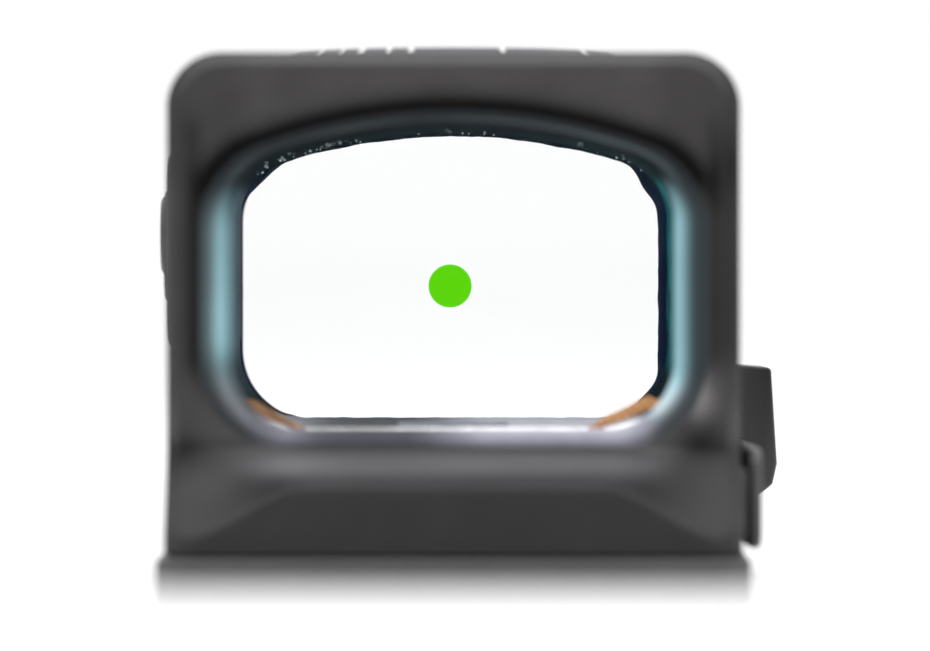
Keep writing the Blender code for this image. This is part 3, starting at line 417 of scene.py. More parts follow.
# painted glow: an even colour that stands in for light skimming the holder
M_HOLDER = barrel_black("holder_black", glow=(0.25, 0.262, 0.30))
M_RING = anodised("ring_anodised", base=(0.012, 0.012, 0.014), rough=0.5, spec=0.3, wear=0.2)
M_BLACK_STEEL = machined("black_oxide", base=(0.075, 0.075, 0.082), rough=0.34, dark=0.7, worn=1.5)
M_STEEL = machined("bright_steel", base=(0.56, 0.56, 0.57), rough=0.26)
M_TRAY_SCREW = machined("tray_screw_steel", base=(0.16, 0.16, 0.165), rough=0.34)
M_SPRING = machined("spring_steel", base=(0.62, 0.61, 0.60), rough=0.22)
M_BRASS = machined("brass", base=(0.72, 0.53, 0.26), rough=0.26)
M_GASKET = moulded("seal_rubber", base=(0.016, 0.016, 0.017), rough=0.6, grain=10, depth=0.25)
M_TRAY_SEAL = moulded("tray_seal_grey", base=(0.058, 0.056, 0.058), rough=0.6, grain=10, depth=0.25)
M_BEZEL = moulded("bezel_rubber", base=(0.034, 0.032, 0.034), rough=0.58, grain=16, depth=0.35)
M_BUTTON = moulded("button_rubber", base=(0.030, 0.029, 0.031), rough=0.50, grain=18, depth=0.3,
                   spec=0.45)
M_TRAY = moulded("tray_plastic", base=(0.034, 0.033, 0.035), rough=0.42, grain=18, depth=0.22,
                 spec=0.5)
M_CHIP = moulded("chip_epoxy", base=(0.012, 0.012, 0.013), rough=0.42, grain=22, depth=0.2)
M_BOARD = circuit("circuit_board")
M_FILM = film("amber_film")
M_MARK = painted_mark("white_marks")
M_WINDOW = coated_glass("window_glass", coat=(0.35, 0.75, 0.85), gloss=0.7)
M_LENS = coated_glass("lens_glass", coat=(0.95, 0.42, 0.30), gloss=0.35)


# ------------------------------------------------------------------ numbers and flat outlines
def lerp(a, b, t):
    return a + (b - a) * t


def smooth(t):
    t = min(1.0, max(0.0, t))
    return t * t * (3 - 2 * t)


def bell(offset, width):
    return math.exp(-(offset / width) ** 2)


def morph(start, end, t):
    """Outline part of the way between two others."""
    return [(lerp(a[0], b[0], t), lerp(a[1], b[1], t)) for a, b in zip(start, end)]


def fillet(pts, r, n=4, closed=True):
    """Round every corner of a polyline."""
    out = []
    count = len(pts)
    for i, p in enumerate(pts):
        if not closed and i in (0, count - 1):
            out.append(tuple(p))
            continue
        p = Vector(p)
        back, ahead = Vector(pts[i - 1]) - p, Vector(pts[(i + 1) % count]) - p
        back_len, ahead_len = back.length, ahead.length
        back, ahead = back / back_len, ahead / ahead_len
        angle = back.angle(ahead)
        if angle > math.pi - 0.06:
            out.append(tuple(p))
            continue
        reach = min(r / math.tan(angle / 2), back_len * 0.48, ahead_len * 0.48)
        start, end = p + back * reach, p + ahead * reach
        for k in range(n + 1):
            t = k / n
            out.append(tuple(start * (1 - t) ** 2 + p * 2 * t * (1 - t) + end * t * t))
    return out


def inset(pts, distance):
    """Offset a counter-clockwise outline inwards."""
    count = len(pts)
    out = []
    for i in range(count):
        p = Vector(pts[i])
        before, after = p - Vector(pts[i - 1]), Vector(pts[(i + 1) % count]) - p
        if before.length < 1e-9 or after.length < 1e-9:
            out.append(tuple(p))
            continue
        first = Vector((-before.y, before.x)).normalized()
        n = first + Vector((-after.y, after.x)).normalized()
        n = n / max(0.35, n.length_squared / 2) if n.length > 1e-6 else first
        out.append((p.x + n.x * distance, p.y + n.y * distance))
    return out


def circle(cu, cv, r, seg=48):
    turn = 2 * math.pi
    return [(cu + r * math.cos(turn * i / seg), cv + r * math.sin(turn * i / seg))
            for i in range(seg)]


def rounded(u0, u1, v0, v1, r, n=8):
    """Rectangle with round corners."""
    pts = []
    for cu, cv, start in ((u1 - r, v0 + r, -90), (u1 - r, v1 - r, 0),
                          (u0 + r, v1 - r, 90), (u0 + r, v0 + r, 180)):
        for i in range(n + 1):
            a = math.radians(start + 90 * i / n)
            pts.append((cu + r * math.cos(a), cv + r * math.sin(a)))
    return pts


def mirrored_outline(half_w, foot_z, foot_r, head_r, head_cz, head_angle, head, counts):
    """Counter-clockwise from the left end of the flat foot, a fixed count per stretch.

    head_cz and head_angle are the centre height and sweep of the upper corners;
    head holds the points between those corners.
    """
    n_foot, n_low, n_side, n_high, _ = counts
    foot_half = half_w - foot_r
    foot = [(-foot_half + 2 * foot_half * i / n_foot, foot_z) for i in range(n_foot)]
    right = []
    for i in range(n_low):
        a = -math.pi / 2 + math.pi / 2 * i / n_low
        right.append((foot_half + foot_r * math.cos(a), foot_z + foot_r + foot_r * math.sin(a)))
    for i in range(n_side):
        right.append((half_w, foot_z + foot_r + (head_cz - foot_z - foot_r) * i / n_side))
    for i in range(n_high + 1):
        a = head_angle * i / n_high
        right.append((half_w - head_r + head_r * math.cos(a), head_cz + head_r * math.sin(a)))
    return foot + right + head + [(-x, z) for x, z in reversed(right[1:])]


def contour(spec, counts=FINE):
    """Window outline with an arched head."""
    half_w, z0, z1, foot_r, head_r, arch_r = spec
    arch_cz = z1 - arch_r
    head_cz = arch_cz + math.sqrt((arch_r - head_r) ** 2 - (half_w - head_r) ** 2)
    start = math.atan2(head_cz - arch_cz, half_w - head_r)
    head = []
    for i in range(1, counts[-1]):
        a = start + (math.pi - 2 * start) * i / counts[-1]
        head.append((arch_r * math.cos(a), arch_cz + arch_r * math.sin(a)))
    return mirrored_outline(half_w, z0, foot_r, head_r, head_cz, start, head, counts)


def body_contour(half_w, z0, z1, foot_r, head_r):
    """Outside of the housing, flat on top, matched point for point to contour()."""
    n = FINE[-1]
    head = [((half_w - head_r) * (1 - 2 * i / n), z1) for i in range(1, n)]
    return mirrored_outline(half_w, z0, foot_r, head_r, z1 - head_r, math.pi / 2, head, FINE)


def distance_to(pts):
    """Function that gives the distance from (x, z) to an outline."""
    dense = []
    for a, b in zip(pts, pts[1:] + pts[:1]):
        n = max(1, int(math.dist(a, b) / 0.04))
        dense += [(lerp(a[0], b[0], k / n), lerp(a[1], b[1], k / n)) for k in range(n)]
    tree = KDTree(len(dense))
    for i, (x, z) in enumerate(dense):
        tree.insert((x, 0.0, z), i)
    tree.balance()
    return lambda x, z: tree.find((x, 0.0, z))[2]


def radial(centre, angle, corners):
    """Points from (distance out, distance across) at an angle round a centre."""
    u, v = math.cos(angle), math.sin(angle)
    return [(centre[0] + u * out - v * across, centre[1] + v * out + u * across)
            for out, across in corners]


# ------------------------------------------------------------------ solid shapes
def place(axis, u, v, w):
    """Point at (u, v) across an axis and w along it."""
    if axis == "x":
        return Vector((w, u, v))
    if axis == "y":
        return Vector((u, w, v))
    return Vector((u, v, w))


def ring_at(pts, y):
    return [Vector((x, y, z)) for x, z in pts]


def skin(rings, closed=False):
    """Quads between equal rings. closed joins the last ring to the first instead of capping."""
    bm = bmesh.new()
    loops = [[bm.verts.new(p) for p in ring] for ring in rings]
    pairs = list(zip(loops, loops[1:])) + ([(loops[-1], loops[0])] if closed else [])
    for a, b in pairs:
        for i in range(len(a)):
            j = (i + 1) % len(a)
            bm.faces.new((a[i], a[j], b[j], b[i]))
    if not closed:
        bm.faces.new(loops[0])
        bm.faces.new(loops[-1])
    bmesh.ops.recalc_face_normals(bm, faces=bm.faces)
    return bm


def prism(pts, axis, w0, w1):
    return skin([[place(axis, u, v, w) for u, v in pts] for w in (w0, w1)])


def block(x0, x1, y0, y1, z0, z1):
    return prism([(x0, y0), (x1, y0), (x1, y1), (x0, y1)], "z", z0, z1)


def hole(axis, centre, w0, w1, r, seg=40):
    return prism(circle(*centre, r, seg), axis, w0, w1)


def slab(pts, axis, w0, w1, r, n):
    """An extrusion with rounded end edges."""
    steps = [math.pi / 2 * k / n for k in range(n + 1)]
    levels = [(r * (1 - math.sin(a)), w0 + r * (1 - math.cos(a))) for a in steps]
    levels += [(r * (1 - math.cos(a)), w1 - r * (1 - math.sin(a))) for a in steps]
    return skin([[place(axis, u, v, w) for u, v in (inset(pts, d) if d > 1e-9 else pts)]
                 for d, w in levels])


def frame_ring(outer, inner, axis, w0, w1, r, n):
    """A flat frame between two outlines with softened rims."""
    rings = []
    # outline, inward sign, end, sign along the axis, whether the quarter turn starts flat
    for pts, side, end, way, flat in ((outer, 1, w0, 1, False), (inner, -1, w0, 1, True),
                                      (inner, -1, w1, -1, False), (outer, 1, w1, -1, True)):
        for k in range(n + 1):
            a = math.pi / 2 * k / n
            along, across = r * (1 - math.sin(a)), r * (1 - math.cos(a))
            if flat:
                along, across = across, along
            rings.append([place(axis, u, v, end + way * along)
                          for u, v in inset(pts, side * across)])
    return skin(rings, closed=True)


def window_ring(outer, inner, y0, y1, r, n, counts=RING_COUNTS):
    return frame_ring(contour(outer, counts), contour(inner, counts), "y", y0, y1, r, n)


def lathe(profile, axis, centre, seg=96, closed=False):
    """Spin a profile of (radius, distance along the axis)."""
    bm = bmesh.new()
    loops = []
    for r, w in profile:
        pts = [centre] if r < 1e-6 else circle(*centre, r, seg)
        loops.append([bm.verts.new(place(axis, u, v, w)) for u, v in pts])
    pairs = list(zip(loops, loops[1:])) + ([(loops[-1], loops[0])] if closed else [])
    for a, b in pairs:
        for i in range(seg):
            j = (i + 1) % seg
            if len(a) == 1:
                bm.faces.new((a[0], b[j], b[i]))
            elif len(b) == 1:
                bm.faces.new((a[i], a[j], b[0]))
            else:
                bm.faces.new((a[i], a[j], b[j], b[i]))
    bmesh.ops.recalc_face_normals(bm, faces=bm.faces)
    return bm


def rod(path, radius, sides):
    """A round wire along a path of points."""
    rings = []
    reference = Vector((0.13, 0.21, 0.97)).normalized()
    for i, p in enumerate(path):
        along = (path[min(i + 1, len(path) - 1)] - path[max(i - 1, 0)]).normalized()
        a = along.cross(reference).normalized()
        b = along.cross(a)
        rings.append([p + (a * math.cos(turn) + b * math.sin(turn)) * radius
                      for turn in (2 * math.pi * k / sides for k in range(sides))])
    return skin(rings)


def sunk_mark(points, drop):
    """A thin plate with its upper face at the points."""
    return skin([points, [p - Vector(drop) for p in points]])


def joined(*parts):
    out = bmesh.new()
    for bm in parts:
        me = bpy.data.meshes.new("join")
        bm.to_mesh(me)
        bm.free()
        out.from_mesh(me)
        bpy.data.meshes.remove(me)
    return out


def bundled(tools):
    """Join cutting tools that stay clear of each other, so that they go in one boolean."""
    bundles = []
    for tool in tools:
        corners = [v.co for v in tool.verts]
        lo = [min(c[k] for c in corners) - 0.05 for k in range(3)]
        hi = [max(c[k] for c in corners) + 0.05 for k in range(3)]
        for members, boxes in bundles:
            if all(any(hi[k] < b[0][k] or lo[k] > b[1][k] for k in range(3)) for b in boxes):
                members.append(tool)
                boxes.append((lo, hi))
                break
        else:
            bundles.append(([tool], [(lo, hi)]))
    return [joined(*members) for members, _ in bundles]


def temp_object(bm):
    me = bpy.data.meshes.new("shape")
    bm.to_mesh(me)
    bm.free()
    ob = bpy.data.objects.new("shape", me)
    bpy.context.scene.collection.objects.link(ob)
    return ob


def carve(bm, cut=(), add=()):
    """Add shapes to a solid, then cut others from it."""
    base = temp_object(bm)
    tools = []
    for operation, shapes in (("UNION", add), ("DIFFERENCE", bundled(cut))):
        for shape in shapes:
            tools.append(temp_object(shape))
            modifier = base.modifiers.new("step", "BOOLEAN")
            modifier.operation = operation
            modifier.solver = "EXACT"
            modifier.object = tools[-1]
    bpy.context.view_layer.update()
    graph = bpy.context.evaluated_depsgraph_get()
    me = bpy.data.meshes.new_from_object(base.evaluated_get(graph))
    out = bmesh.new()
    out.from_mesh(me)
    bpy.data.meshes.remove(me)
    for ob in [base] + tools:
        data = ob.data
        bpy.data.objects.remove(ob)
        bpy.data.meshes.remove(data)
    bmesh.ops.remove_doubles(out, verts=out.verts, dist=1e-5)
    loose = [v for v in out.verts if not v.link_faces]
    bmesh.ops.delete(out, geom=loose, context="VERTS")
    return out


def piece(name, bm, material, body, replaces=(), sharp=34, paint=None):
    """A finished piece that rides on a CAD body.

    paint(x, y, z) gives each vertex painted light: a level (a number) or a glow colour (a colour).
    """
    painted = [paint(*v.co) for v in bm.verts] if paint else None
    bmesh.ops.scale(bm, vec=(MM, MM, MM), verts=bm.verts)
    me = bpy.data.meshes.new(name)
    bm.to_mesh(me)
    bm.free()
    if painted and isinstance(painted[0], tuple):
        colours = np.array([(*c, 1.0) for c in painted], np.float32)
        me.attributes.new("painted_glow", "FLOAT_COLOR", "POINT").data.foreach_set("color", colours.ravel())
    elif painted:
        painted_light_levels = np.array(painted, np.float32)
        me.attributes.new("painted_light", "FLOAT", "POINT").data.foreach_set("value", painted_light_levels)
    me.materials.append(material)
    me.shade_smooth()
    me.set_sharp_from_angle(angle=math.radians(sharp))
    ob = bpy.data.objects.new(name, me)
    bpy.context.scene.collection.objects.link(ob)
    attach(ob, body)
    if replaces:
        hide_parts(*replaces)
    return ob


# ------------------------------------------------------------------ housing
lip_inner, lip_outer = contour(LIP_IN), contour(LIP_OUT)
to_lip_inner, to_lip_outer = distance_to(lip_inner), distance_to(lip_outer)
LIP_STEPS, FACE_STEPS, WALL_STEPS = 12, 34, 14


def rear_face(x, z):
    """Y of the user's side: a flat window frame, and a shelf below that runs out to the chin."""
    lip_z = CHIN_LIP_Z - CHIN_DROP * smooth((abs(x) - 7.6) / 6.6)
    s = (CHIN_TOP_Z - z) / (CHIN_TOP_Z - lip_z)
    blend = 0.07                       # softens both ends of the slope
    if s <= -blend:
        t = 0.0
    elif s < blend:
        t = (s + blend) ** 2 / (4 * blend)
    elif s > 1 + blend:
        t = 1.0
    elif s > 1 - blend:
        t = 1 - (1 + blend - s) ** 2 / (4 * blend)
    else:
        t = s
    reach = (FRAME_Y - CHIN_Y) * t ** 1.25
    side = max(0.0, (abs(x) - 12.4) / (HALF_W - 12.4))
    return FRAME_Y - reach * (1.0 - 0.22 * side * side)


# painted highlights and shade at both ends of the shelf: centre x, centre z, spread x, spread z,
# change of painted light
PAINTED_LIGHT_PATCHES = (
    (-12.2, 6.3, 1.2, 0.7, 0.16),
    (-14.3, 8.4, 0.9, 1.1, -0.34),
    (13.0, 10.7, 0.52, 0.80, 1.9),
    (13.1, 8.8, 1.0, 0.75, -0.66),
    (10.9, 8.1, 0.9, 0.7, 0.20),
)


def frame_painted_light(x, y, z):
    """Painted light and shade: how much lighter or darker the finish is drawn, mostly on the user's
    side.
    """
    if y > 6.5 and x > 15.3:           # painted shade: the boss darkens upwards
        return -0.52 * smooth((z - 9.0) / 2.4)
    if y > -11.0 or z < 1.0:
        return 0.0
    face = smooth((-y - 13.7) / 0.9)
    # painted shade round the lip
    amount = lerp(0.36 if x < 0 else 0.10, 0.92, smooth((z - 20.0) / 3.5))
    painted_light = -amount * smooth((z - 9.5) / 3.0) * bell(to_lip_outer(x, z), 0.9)
    painted_light -= 0.18 * smooth((z - 8.5) / 3.0)
    # painted shade on the uprights and upper corners
    painted_light -= (0.22 * smooth((x - 13.2) / 0.9) * smooth((z - 11.5) / 2.0)
             * smooth((26.0 - z) / 3.0) * face)
    painted_light += ((-0.26 if x > 0 else -0.22) * smooth((abs(x) - 14.2) / 0.5)
             * smooth((z - 9.0) / 2.0) * face)
    upright = smooth((z - 11.0) / 2.0) * smooth((26.5 - z) / 2.0) * face
    painted_light += (-0.28 * bell(x + 13.85, 0.6) - 0.20 * bell(x - 13.8, 0.6)) * upright
    painted_light -= 0.13 * smooth((z - 21.0) / 2.0) * smooth((abs(x) - 10.0) / 2.0)
    # painted shade makes the chin darker than the frame, and a painted highlight lights the shelf
    # above it
    painted_light += -0.49 * smooth((8.9 - z) / 1.2) + 0.08 * smooth((3.4 - z) / 1.0)
    ends = smooth((x + 12.9) / 4.6) * smooth((12.4 - x) / 4.2)
    painted_light += 1.60 * bell(z - 7.18, 0.62) * ends * (1.0 + 0.30 * bell(x + 8.6, 2.4))
    for cx, cz, spread_x, spread_z, change in PAINTED_LIGHT_PATCHES:
        painted_light += change * math.exp(-0.5 * (((x - cx) / spread_x) ** 2 + ((z - cz) / spread_z) ** 2))
    if y > -13.0:                      # fades out along the side walls
        painted_light *= smooth((-y - 11.0) / 2.0)
    return max(painted_light, -0.92)


def lip_ring(xz, seat_y, share, face_shift=0.0, shift=0.0):
    """Ring of the lip, a share of the way from its seat out to the face."""
    return [Vector((x, lerp(seat_y, rear_face(*b) + face_shift, share) + shift, z))
            for (x, z), b in zip(xz, lip_outer)]


def housing_skin():
    """Shell from the lip, over the face, along the walls, and back through the tunnel."""
    outer = body_contour(HALF_W, FOOT_Z, TOP_Z, 0.35, SHOULDER_R)
    face_edge = body_contour(HALF_W - CHAMFER, FOOT_Z + 0.12, TOP_Z - CHAMFER, 0.3,
                             SHOULDER_R - CHAMFER * 0.6)
    front_edge = body_contour(HALF_W - 0.6, FOOT_Z + 0.3, TOP_Z - 0.6, 0.3, SHOULDER_R - 0.4)
    seat, tunnel = contour(FRONT_SEAT), contour(TUNNEL)
    rings = []
    for k in range(LIP_STEPS + 1):
        a = math.pi / 2 * k / LIP_STEPS
        rings.append(lip_ring(morph(lip_inner, lip_outer, 1 - math.cos(a)), LIP_SEAT_Y,
                              math.sin(a)))
    for k in range(1, FACE_STEPS + 1):
        share = k / FACE_STEPS
        rings.append(ring_at(morph(lip_outer, face_edge, share), 0))
        for v in rings[-1]:
            crown = 0.10 * math.sin(math.pi * share) * smooth((v.z - 8.5) / 3.5)
            v.y = rear_face(v.x, v.z) - crown
    # chamfer: share of the way to the outside, step forward
    rim = rings[-1]
    rim_xz = [(v.x, v.z) for v in rim]
    for share, step in ((0.10, 0.02), (0.22, 0.10), (0.86, CHAMFER * 0.78),
                        (0.97, CHAMFER * 0.92), (1.0, CHAMFER * 1.08)):
        rings.append([Vector((x, v.y + step, z))
                      for v, (x, z) in zip(rim, morph(rim_xz, outer, share))])
    wall = rings[-1]
    for k in range(1, WALL_STEPS + 1):
        rings.append([Vector((x, lerp(v.y, FRONT_Y - 0.66, k / WALL_STEPS), z))
                      for v, (x, z) in zip(wall, outer)])
    rings.append(ring_at(morph(outer, front_edge, 0.05), FRONT_Y - 0.56))
    rings.append(ring_at(morph(outer, front_edge, 0.92), FRONT_Y - 0.05))
    rings.append(ring_at(front_edge, FRONT_Y))
    rings.append(ring_at(morph(front_edge, seat, 0.55), FRONT_Y))
    rings.append(ring_at(inset(seat, -0.12), FRONT_Y))
    rings.append(ring_at(seat, FRONT_Y - 0.12))
    rings.append(ring_at(seat, FRONT_SEAT_Y))
    for k in range(7):
        rings.append(ring_at(tunnel, lerp(FRONT_SEAT_Y, LIP_SEAT_Y + 0.02, k / 6)))
    return skin(rings, closed=True)


def build_housing():
    boss = fillet([(14.45, 4.85), (17.3, 4.9), (17.97, 5.45), BOSS_LOW, BOSS_HIGH,
                   (15.25, 12.2), (14.45, 12.24)], 0.26, 4)
    cuts = [
        # dial well with a ring groove, two bores and a slot in its floor
        lathe([(0, 28.4), (9.87, 28.4), (9.87, 28.86), (10.02, 29.02), (10.02, 30), (0, 30)],
              "z", DIAL_AXIS, 120),
        lathe([(5.45, 27.72), (6.55, 27.72), (6.55, 28.6), (5.45, 28.6)], "z", DIAL_AXIS, 64,
              closed=True),
        hole("z", DIAL_AXIS, 26.0, 28.6, 2.5),
        hole("z", DIAL_AXIS, 25.0, 27.06, 3.8),
        block(-3.5, 3.5, 11.05, 12.55, 28.05, 28.6),
        # upright gimbal pivots
        hole("z", UPRIGHT_PIVOT, 26.0, 28.2, 0.53, 20),
        hole("z", UPRIGHT_PIVOT, 6.62, 8.0, 0.53, 20),
        # windage bore, and a stepped hole in the boss
        lathe([(0, 16.2), (2.12, 16.2), (2.12, 17.75), (2.4, 18.03), (2.4, 19), (0, 19)],
              "x", WIND_AXIS, 56),
        hole("x", WIND_AXIS, 14.0, 16.5, 1.5),
        hole("x", WIND_AXIS, 12.9, 14.72, 2.6),
        hole("y", (15.6, WIND_Z), 12.0, 16.0, 0.5, 20),
        hole("y", (15.6, WIND_Z), 14.3, 16.0, 0.72, 24),
        # pocket behind the buttons, and slots from it down the left wall
        prism(rounded(2.8, 16.6, 16.4, 22.5, 0.8), "x", -16.0, -14.2),
        block(-14.5, -13.3, 4.7, 7.9, 16.9, 17.8),
        block(-13.72, -13.3, 4.7, 7.9, 5.2, 9.0),
        # cavity in the floor, with the recess below it
        prism(rounded(-12.6, 12.6, -13.2, 12.0, 0.8), "z", 3.4, 6.4),
        block(-13.72, -12.4, 4.7, 7.9, 4.6, 6.0),
        prism(rounded(-13.65, 13.65, -16.45, 15.25, 1.2), "z", 1.5, 3.7),
        # mouth of the battery tray and its screw
        prism(rounded(-13.15, 4.55, 3.72, 6.2, 0.4), "x", 12.0, 16.0),
        hole("x", TRAY_SCREW_AXIS, 12.75, 16.0, 0.8, 20),
    ]
    cuts += [hole("z", centre, 3.0, 6.6, 0.66, 16) for centre in COVER_HOLES]
    cuts += [hole("z", centre, 1.5, 5.1, 1.02, 20) for centre in PLATE_SCREWS]
    cuts += [hole("z", (0, y), 1.5, 5.4, 1.5, 24) for y in MOUNT_Y]
    # shallow groove along the left side
    cuts.append(slab(rounded(-12.5, 16.5, 6.48, 7.32, 0.41, 5), "x", -15.6, -14.9, 0.05, 1))
    shell = carve(housing_skin(), cuts, add=[slab(boss, "y", 7.0, 15.0, 0.17, 4)])
    piece("housing_shell", shell, M_HOUSING, "housing", ["housing"], 30,
          frame_painted_light)


def foot_glow(x):
    """Painted light along the foot of the window: dim on the left, bright right of the middle."""
    middle = smooth((x + 2.8) / 5.4) * smooth((11.9 - x) / 3.0)
    return 0.115 + 0.46 * middle + 0.18 * bell(x + 9.0, 1.5)


def lip_painted_reflection(x, y, z):
    """Painted reflection on the lip: teal at the sides, pale violet along the foot, a dim line at the
    head.
    """
    inner, outer = to_lip_inner(x, z), to_lip_outer(x, z)
    f = inner / max(1e-6, inner + outer)
    if x < 0:
        if f < 0.32:
            band = 0.46 + 0.54 * bell(f - 0.32, 0.14)
        else:
            band = 0.10 + 0.90 * bell(f - 0.32, 0.32)
        level = 0.06 + 0.94 * smooth((22.4 - z) / 3.2) + 0.20 * bell(z - 14.6, 1.6)
        level *= lerp(1.0, 0.52, smooth((13.8 - z) / 1.8))
        grey = smooth((13.2 - z) / 3.0)
    else:
        if f < 0.08:
            band = 0.62 + 0.38 * smooth(f / 0.08)
        else:
            band = 0.05 + 0.95 * bell(f - 0.08, 0.29)
        level = 0.12 + 1.12 * smooth((22.9 - z) / 3.2)
        level *= lerp(1.0, 1.8, smooth((12.4 - z) / 1.8))
        grey = 0.75 * smooth((12.4 - z) / 2.4)
    colour = [v * band * level for v in (0.262, 0.468, 0.515)]
    mean = sum(colour) / 3
    # each layer: what it moves towards, and how far
    foot = foot_glow(x) * (0.32 + 0.59 * smooth((0.88 - f) / 0.6) + 0.7 * bell(f, 0.08))
    ripple = 0.046 + 0.012 * math.sin(x * 0.9) + 0.045 * smooth((x - 1.0) / 6.0)
    head = ripple * 1.1 * bell(f - 0.48, 0.115) + 0.002
    for target, share in (
        (shade((0.93, 1.0, 1.08), mean), grey),
        (shade((1.0, 1.0, 1.05), mean), 0.35 * smooth((f - 0.4) / 0.4)),
        (shade((0.97, 0.95, 1.14), foot),
         smooth((10.3 - z) / 0.9) * smooth((11.6 - abs(x)) / 1.6)),
        (shade((0.80, 1.03, 1.12), head), smooth((z - 21.4) / 1.6)),
    ):
        colour = [lerp(a, b, share) for a, b in zip(colour, target)]
    return tuple(colour)


def build_window_rim():
    """Thin polished skin over the lip that carries its painted reflection: the bright line that frames
    the view.
    """
    inner = inset(lip_inner, 0.024)
    rings = []
    for k in range(LIP_STEPS + 3):
        a = math.pi / 2 * min(1.0, k / LIP_STEPS)
        share, lift = 1 - math.cos(a), 0.012
        if k > LIP_STEPS:              # the last two rings lap onto the face
            share, lift = 1.0 + 0.045 * (k - LIP_STEPS), 0.004
        rings.append(lip_ring(morph(inner, lip_outer, share), LIP_SEAT_Y + 0.01, math.sin(a),
                              shift=-lift))
    for k in range(7):                 # the underside
        share = 0.06 + 0.9 * k / 6
        rings.append(lip_ring(morph(lip_outer, lip_inner, share), LIP_SEAT_Y + 0.1,
                              math.sin(math.acos(share)), face_shift=0.06, shift=0.05))
    piece("window_rim", skin(rings, closed=True), M_RIM, "housing",
          sharp=60, paint=lip_painted_reflection)


def build_roof_marks():
    """Index mark in front of the dial, with ticks on both sides."""
    r0, pitch, half_w = 10.35, 7.5, 0.07
    marks = [prism([(-0.16, DIAL_Y + r0), (0.16, DIAL_Y + r0), (0.0, DIAL_Y + 11.5)], "z",
                   28.93, 29.012)]
    for i in (0, 1, 2, 3, 5, 6, 7, 8):
        r1 = 10.75 if i % 2 else 11.05
        corners = ((r1, half_w), (r1, -half_w), (r0, -half_w), (r0, half_w))
        outline = radial(DIAL_AXIS, math.radians(90 + (i - 4) * pitch), corners)
        marks.append(prism(outline, "z", 28.93, 29.01))
    piece("roof_marks", joined(*marks), M_MARK, "housing")


# ------------------------------------------------------------------ base plate
def build_base_plate():
    cuts = [hole("z", (0, y), -1, 3, 1.5) for y in MOUNT_Y]
    flared = [(0, -0.5), (1.9, -0.5), (1.9, 0.0), (1.62, 0.22), (1.6, 1.2), (0, 1.2)]
    cuts += [lathe(flared, "z", (x, 0), 32) for x in (-9.0, 9.0)]
    sunk = [(0, -0.5), (2.45, -0.5), (1.95, 0.0), (1.1, 0.9), (1.1, 3.0), (0, 3.0)]
    cuts += [lathe(sunk, "z", centre, 32) for centre in PLATE_SCREWS]
    cuts.append(frame_ring(rounded(-6.2, 6.2, -12.2, 12.2, 1.4), rounded(-5.6, 5.6, -11.6, 11.6, 0.9),
                           "z", -0.5, 0.25, 0.02, 1))
    plate = slab(rounded(-15.6, 15.6, -21.0, 20.6, 2.2, 10), "z", 0.0, 2.4, 0.3, 4)
    piece("base_plate", carve(plate, cuts), M_PLATE, "housing", ["mounting_plate"])


def build_plate_screws():
    profile = fillet([(0, 4.9), (0.75, 4.9), (0.95, 4.6), (0.95, 1.05), (1.8, 0.14),
                      (1.72, 0.08), (0, 0.08)], 0.05, 2, closed=False)
    for i, centre in enumerate(PLATE_SCREWS, 1):
        screw = carve(lathe(profile, "z", centre, 40), [hole("z", centre, -0.5, 0.75, 0.75, 6)])
        piece("plate_screw_head_%d" % i, screw, M_BLACK_STEEL, "housing", ["plate_screw_%d" % i])


# ------------------------------------------------------------------ windows
def build_windows():
    rear, front = contour(REAR_PANE, PANE_COUNTS), contour(FRONT_PANE, PANE_COUNTS)
    piece("rear_window_pane", slab(rear, "y", -13.1, -11.7, 0.12, 2), M_WINDOW, "housing",
          ["rear_window"])
    piece("front_window_pane", slab(front, "y", 17.74, 19.1, 0.12, 2), M_WINDOW, "housing",
          ["front_window"])
    piece("front_bezel_ring", window_ring(BEZEL_OUT, BEZEL_IN, 19.2, 19.98, 0.14, 3), M_DIAL,
          "housing", ["front_window_frame"])
    piece("front_window_gasket", window_ring(GASKET_OUT, GASKET_IN, 17.68, 19.14, 0.15, 3),
          M_GASKET, "housing", ["front_window_seal"])


# ------------------------------------------------------------------ optical cell
clear = contour(CLEAR)
to_clear = distance_to(clear)
clear_inward = [Vector((b[0] - a[0], b[1] - a[1])) for a, b in zip(clear, inset(clear, 1.0))]
BARREL_REAR_Y, LENS_SEAT_Y = -7.6, 11.8
THREADS = 46


def barrel_painted_light(x, y, z):
    """Painted light that skims the inner walls of the barrel."""
    if y > 11.0 or to_clear(x, z) > 0.3:
        return (0.0, 0.0, 0.0)
    n = noise.noise(Vector((x * 0.5, y * 0.5, z * 0.55)))
    if y < -7.5:                       # rear rim: a painted hair-thin bright line along the foot
        level = smooth((9.6 - z) / 0.5) * (0.55 + 0.4 * smooth((x + 6) / 5))
        return shade((2.1, 2.15, 2.0), level)
    left = lerp(1.0, 0.35, smooth((13.4 - z) / 1.6)) * lerp(1.25, 0.7, smooth((y + 7) / 12))
    right = (0.75 + 1.1 * n) * bell(y - 3.5, 5.5) * smooth((z - 11.4) / 1.4)
    foot = foot_glow(x) * lerp(0.95, 2.4, smooth((-y - 6.2) / 0.6))
    head = (1.0 + 0.7 * n) * (1.0 + 0.9 * smooth((x - 3.0) / 5.0))
    out = (0.0, 0.0, 0.0)
    # painted light: colour, brightness and mask of the left wall, right wall, foot and head
    for colour, level, mask in (
        ((0.085, 0.118, 0.150), left, smooth((-x - 10.8) / 0.9) * smooth((22.6 - z) / 1.6)),
        ((0.006, 0.120, 0.140), right, smooth((x - 10.8) / 0.9) * smooth((23.2 - z) / 1.2)),
        ((0.97, 0.98, 1.06), foot, smooth((9.75 - z) / 0.5)),
        ((0.003, 0.007, 0.0085), head, smooth((z - 22.0) / 1.2)),
    ):
        out = tuple(max(a, mask * max(0.0, b * level)) for a, b in zip(out, colour))
    return out


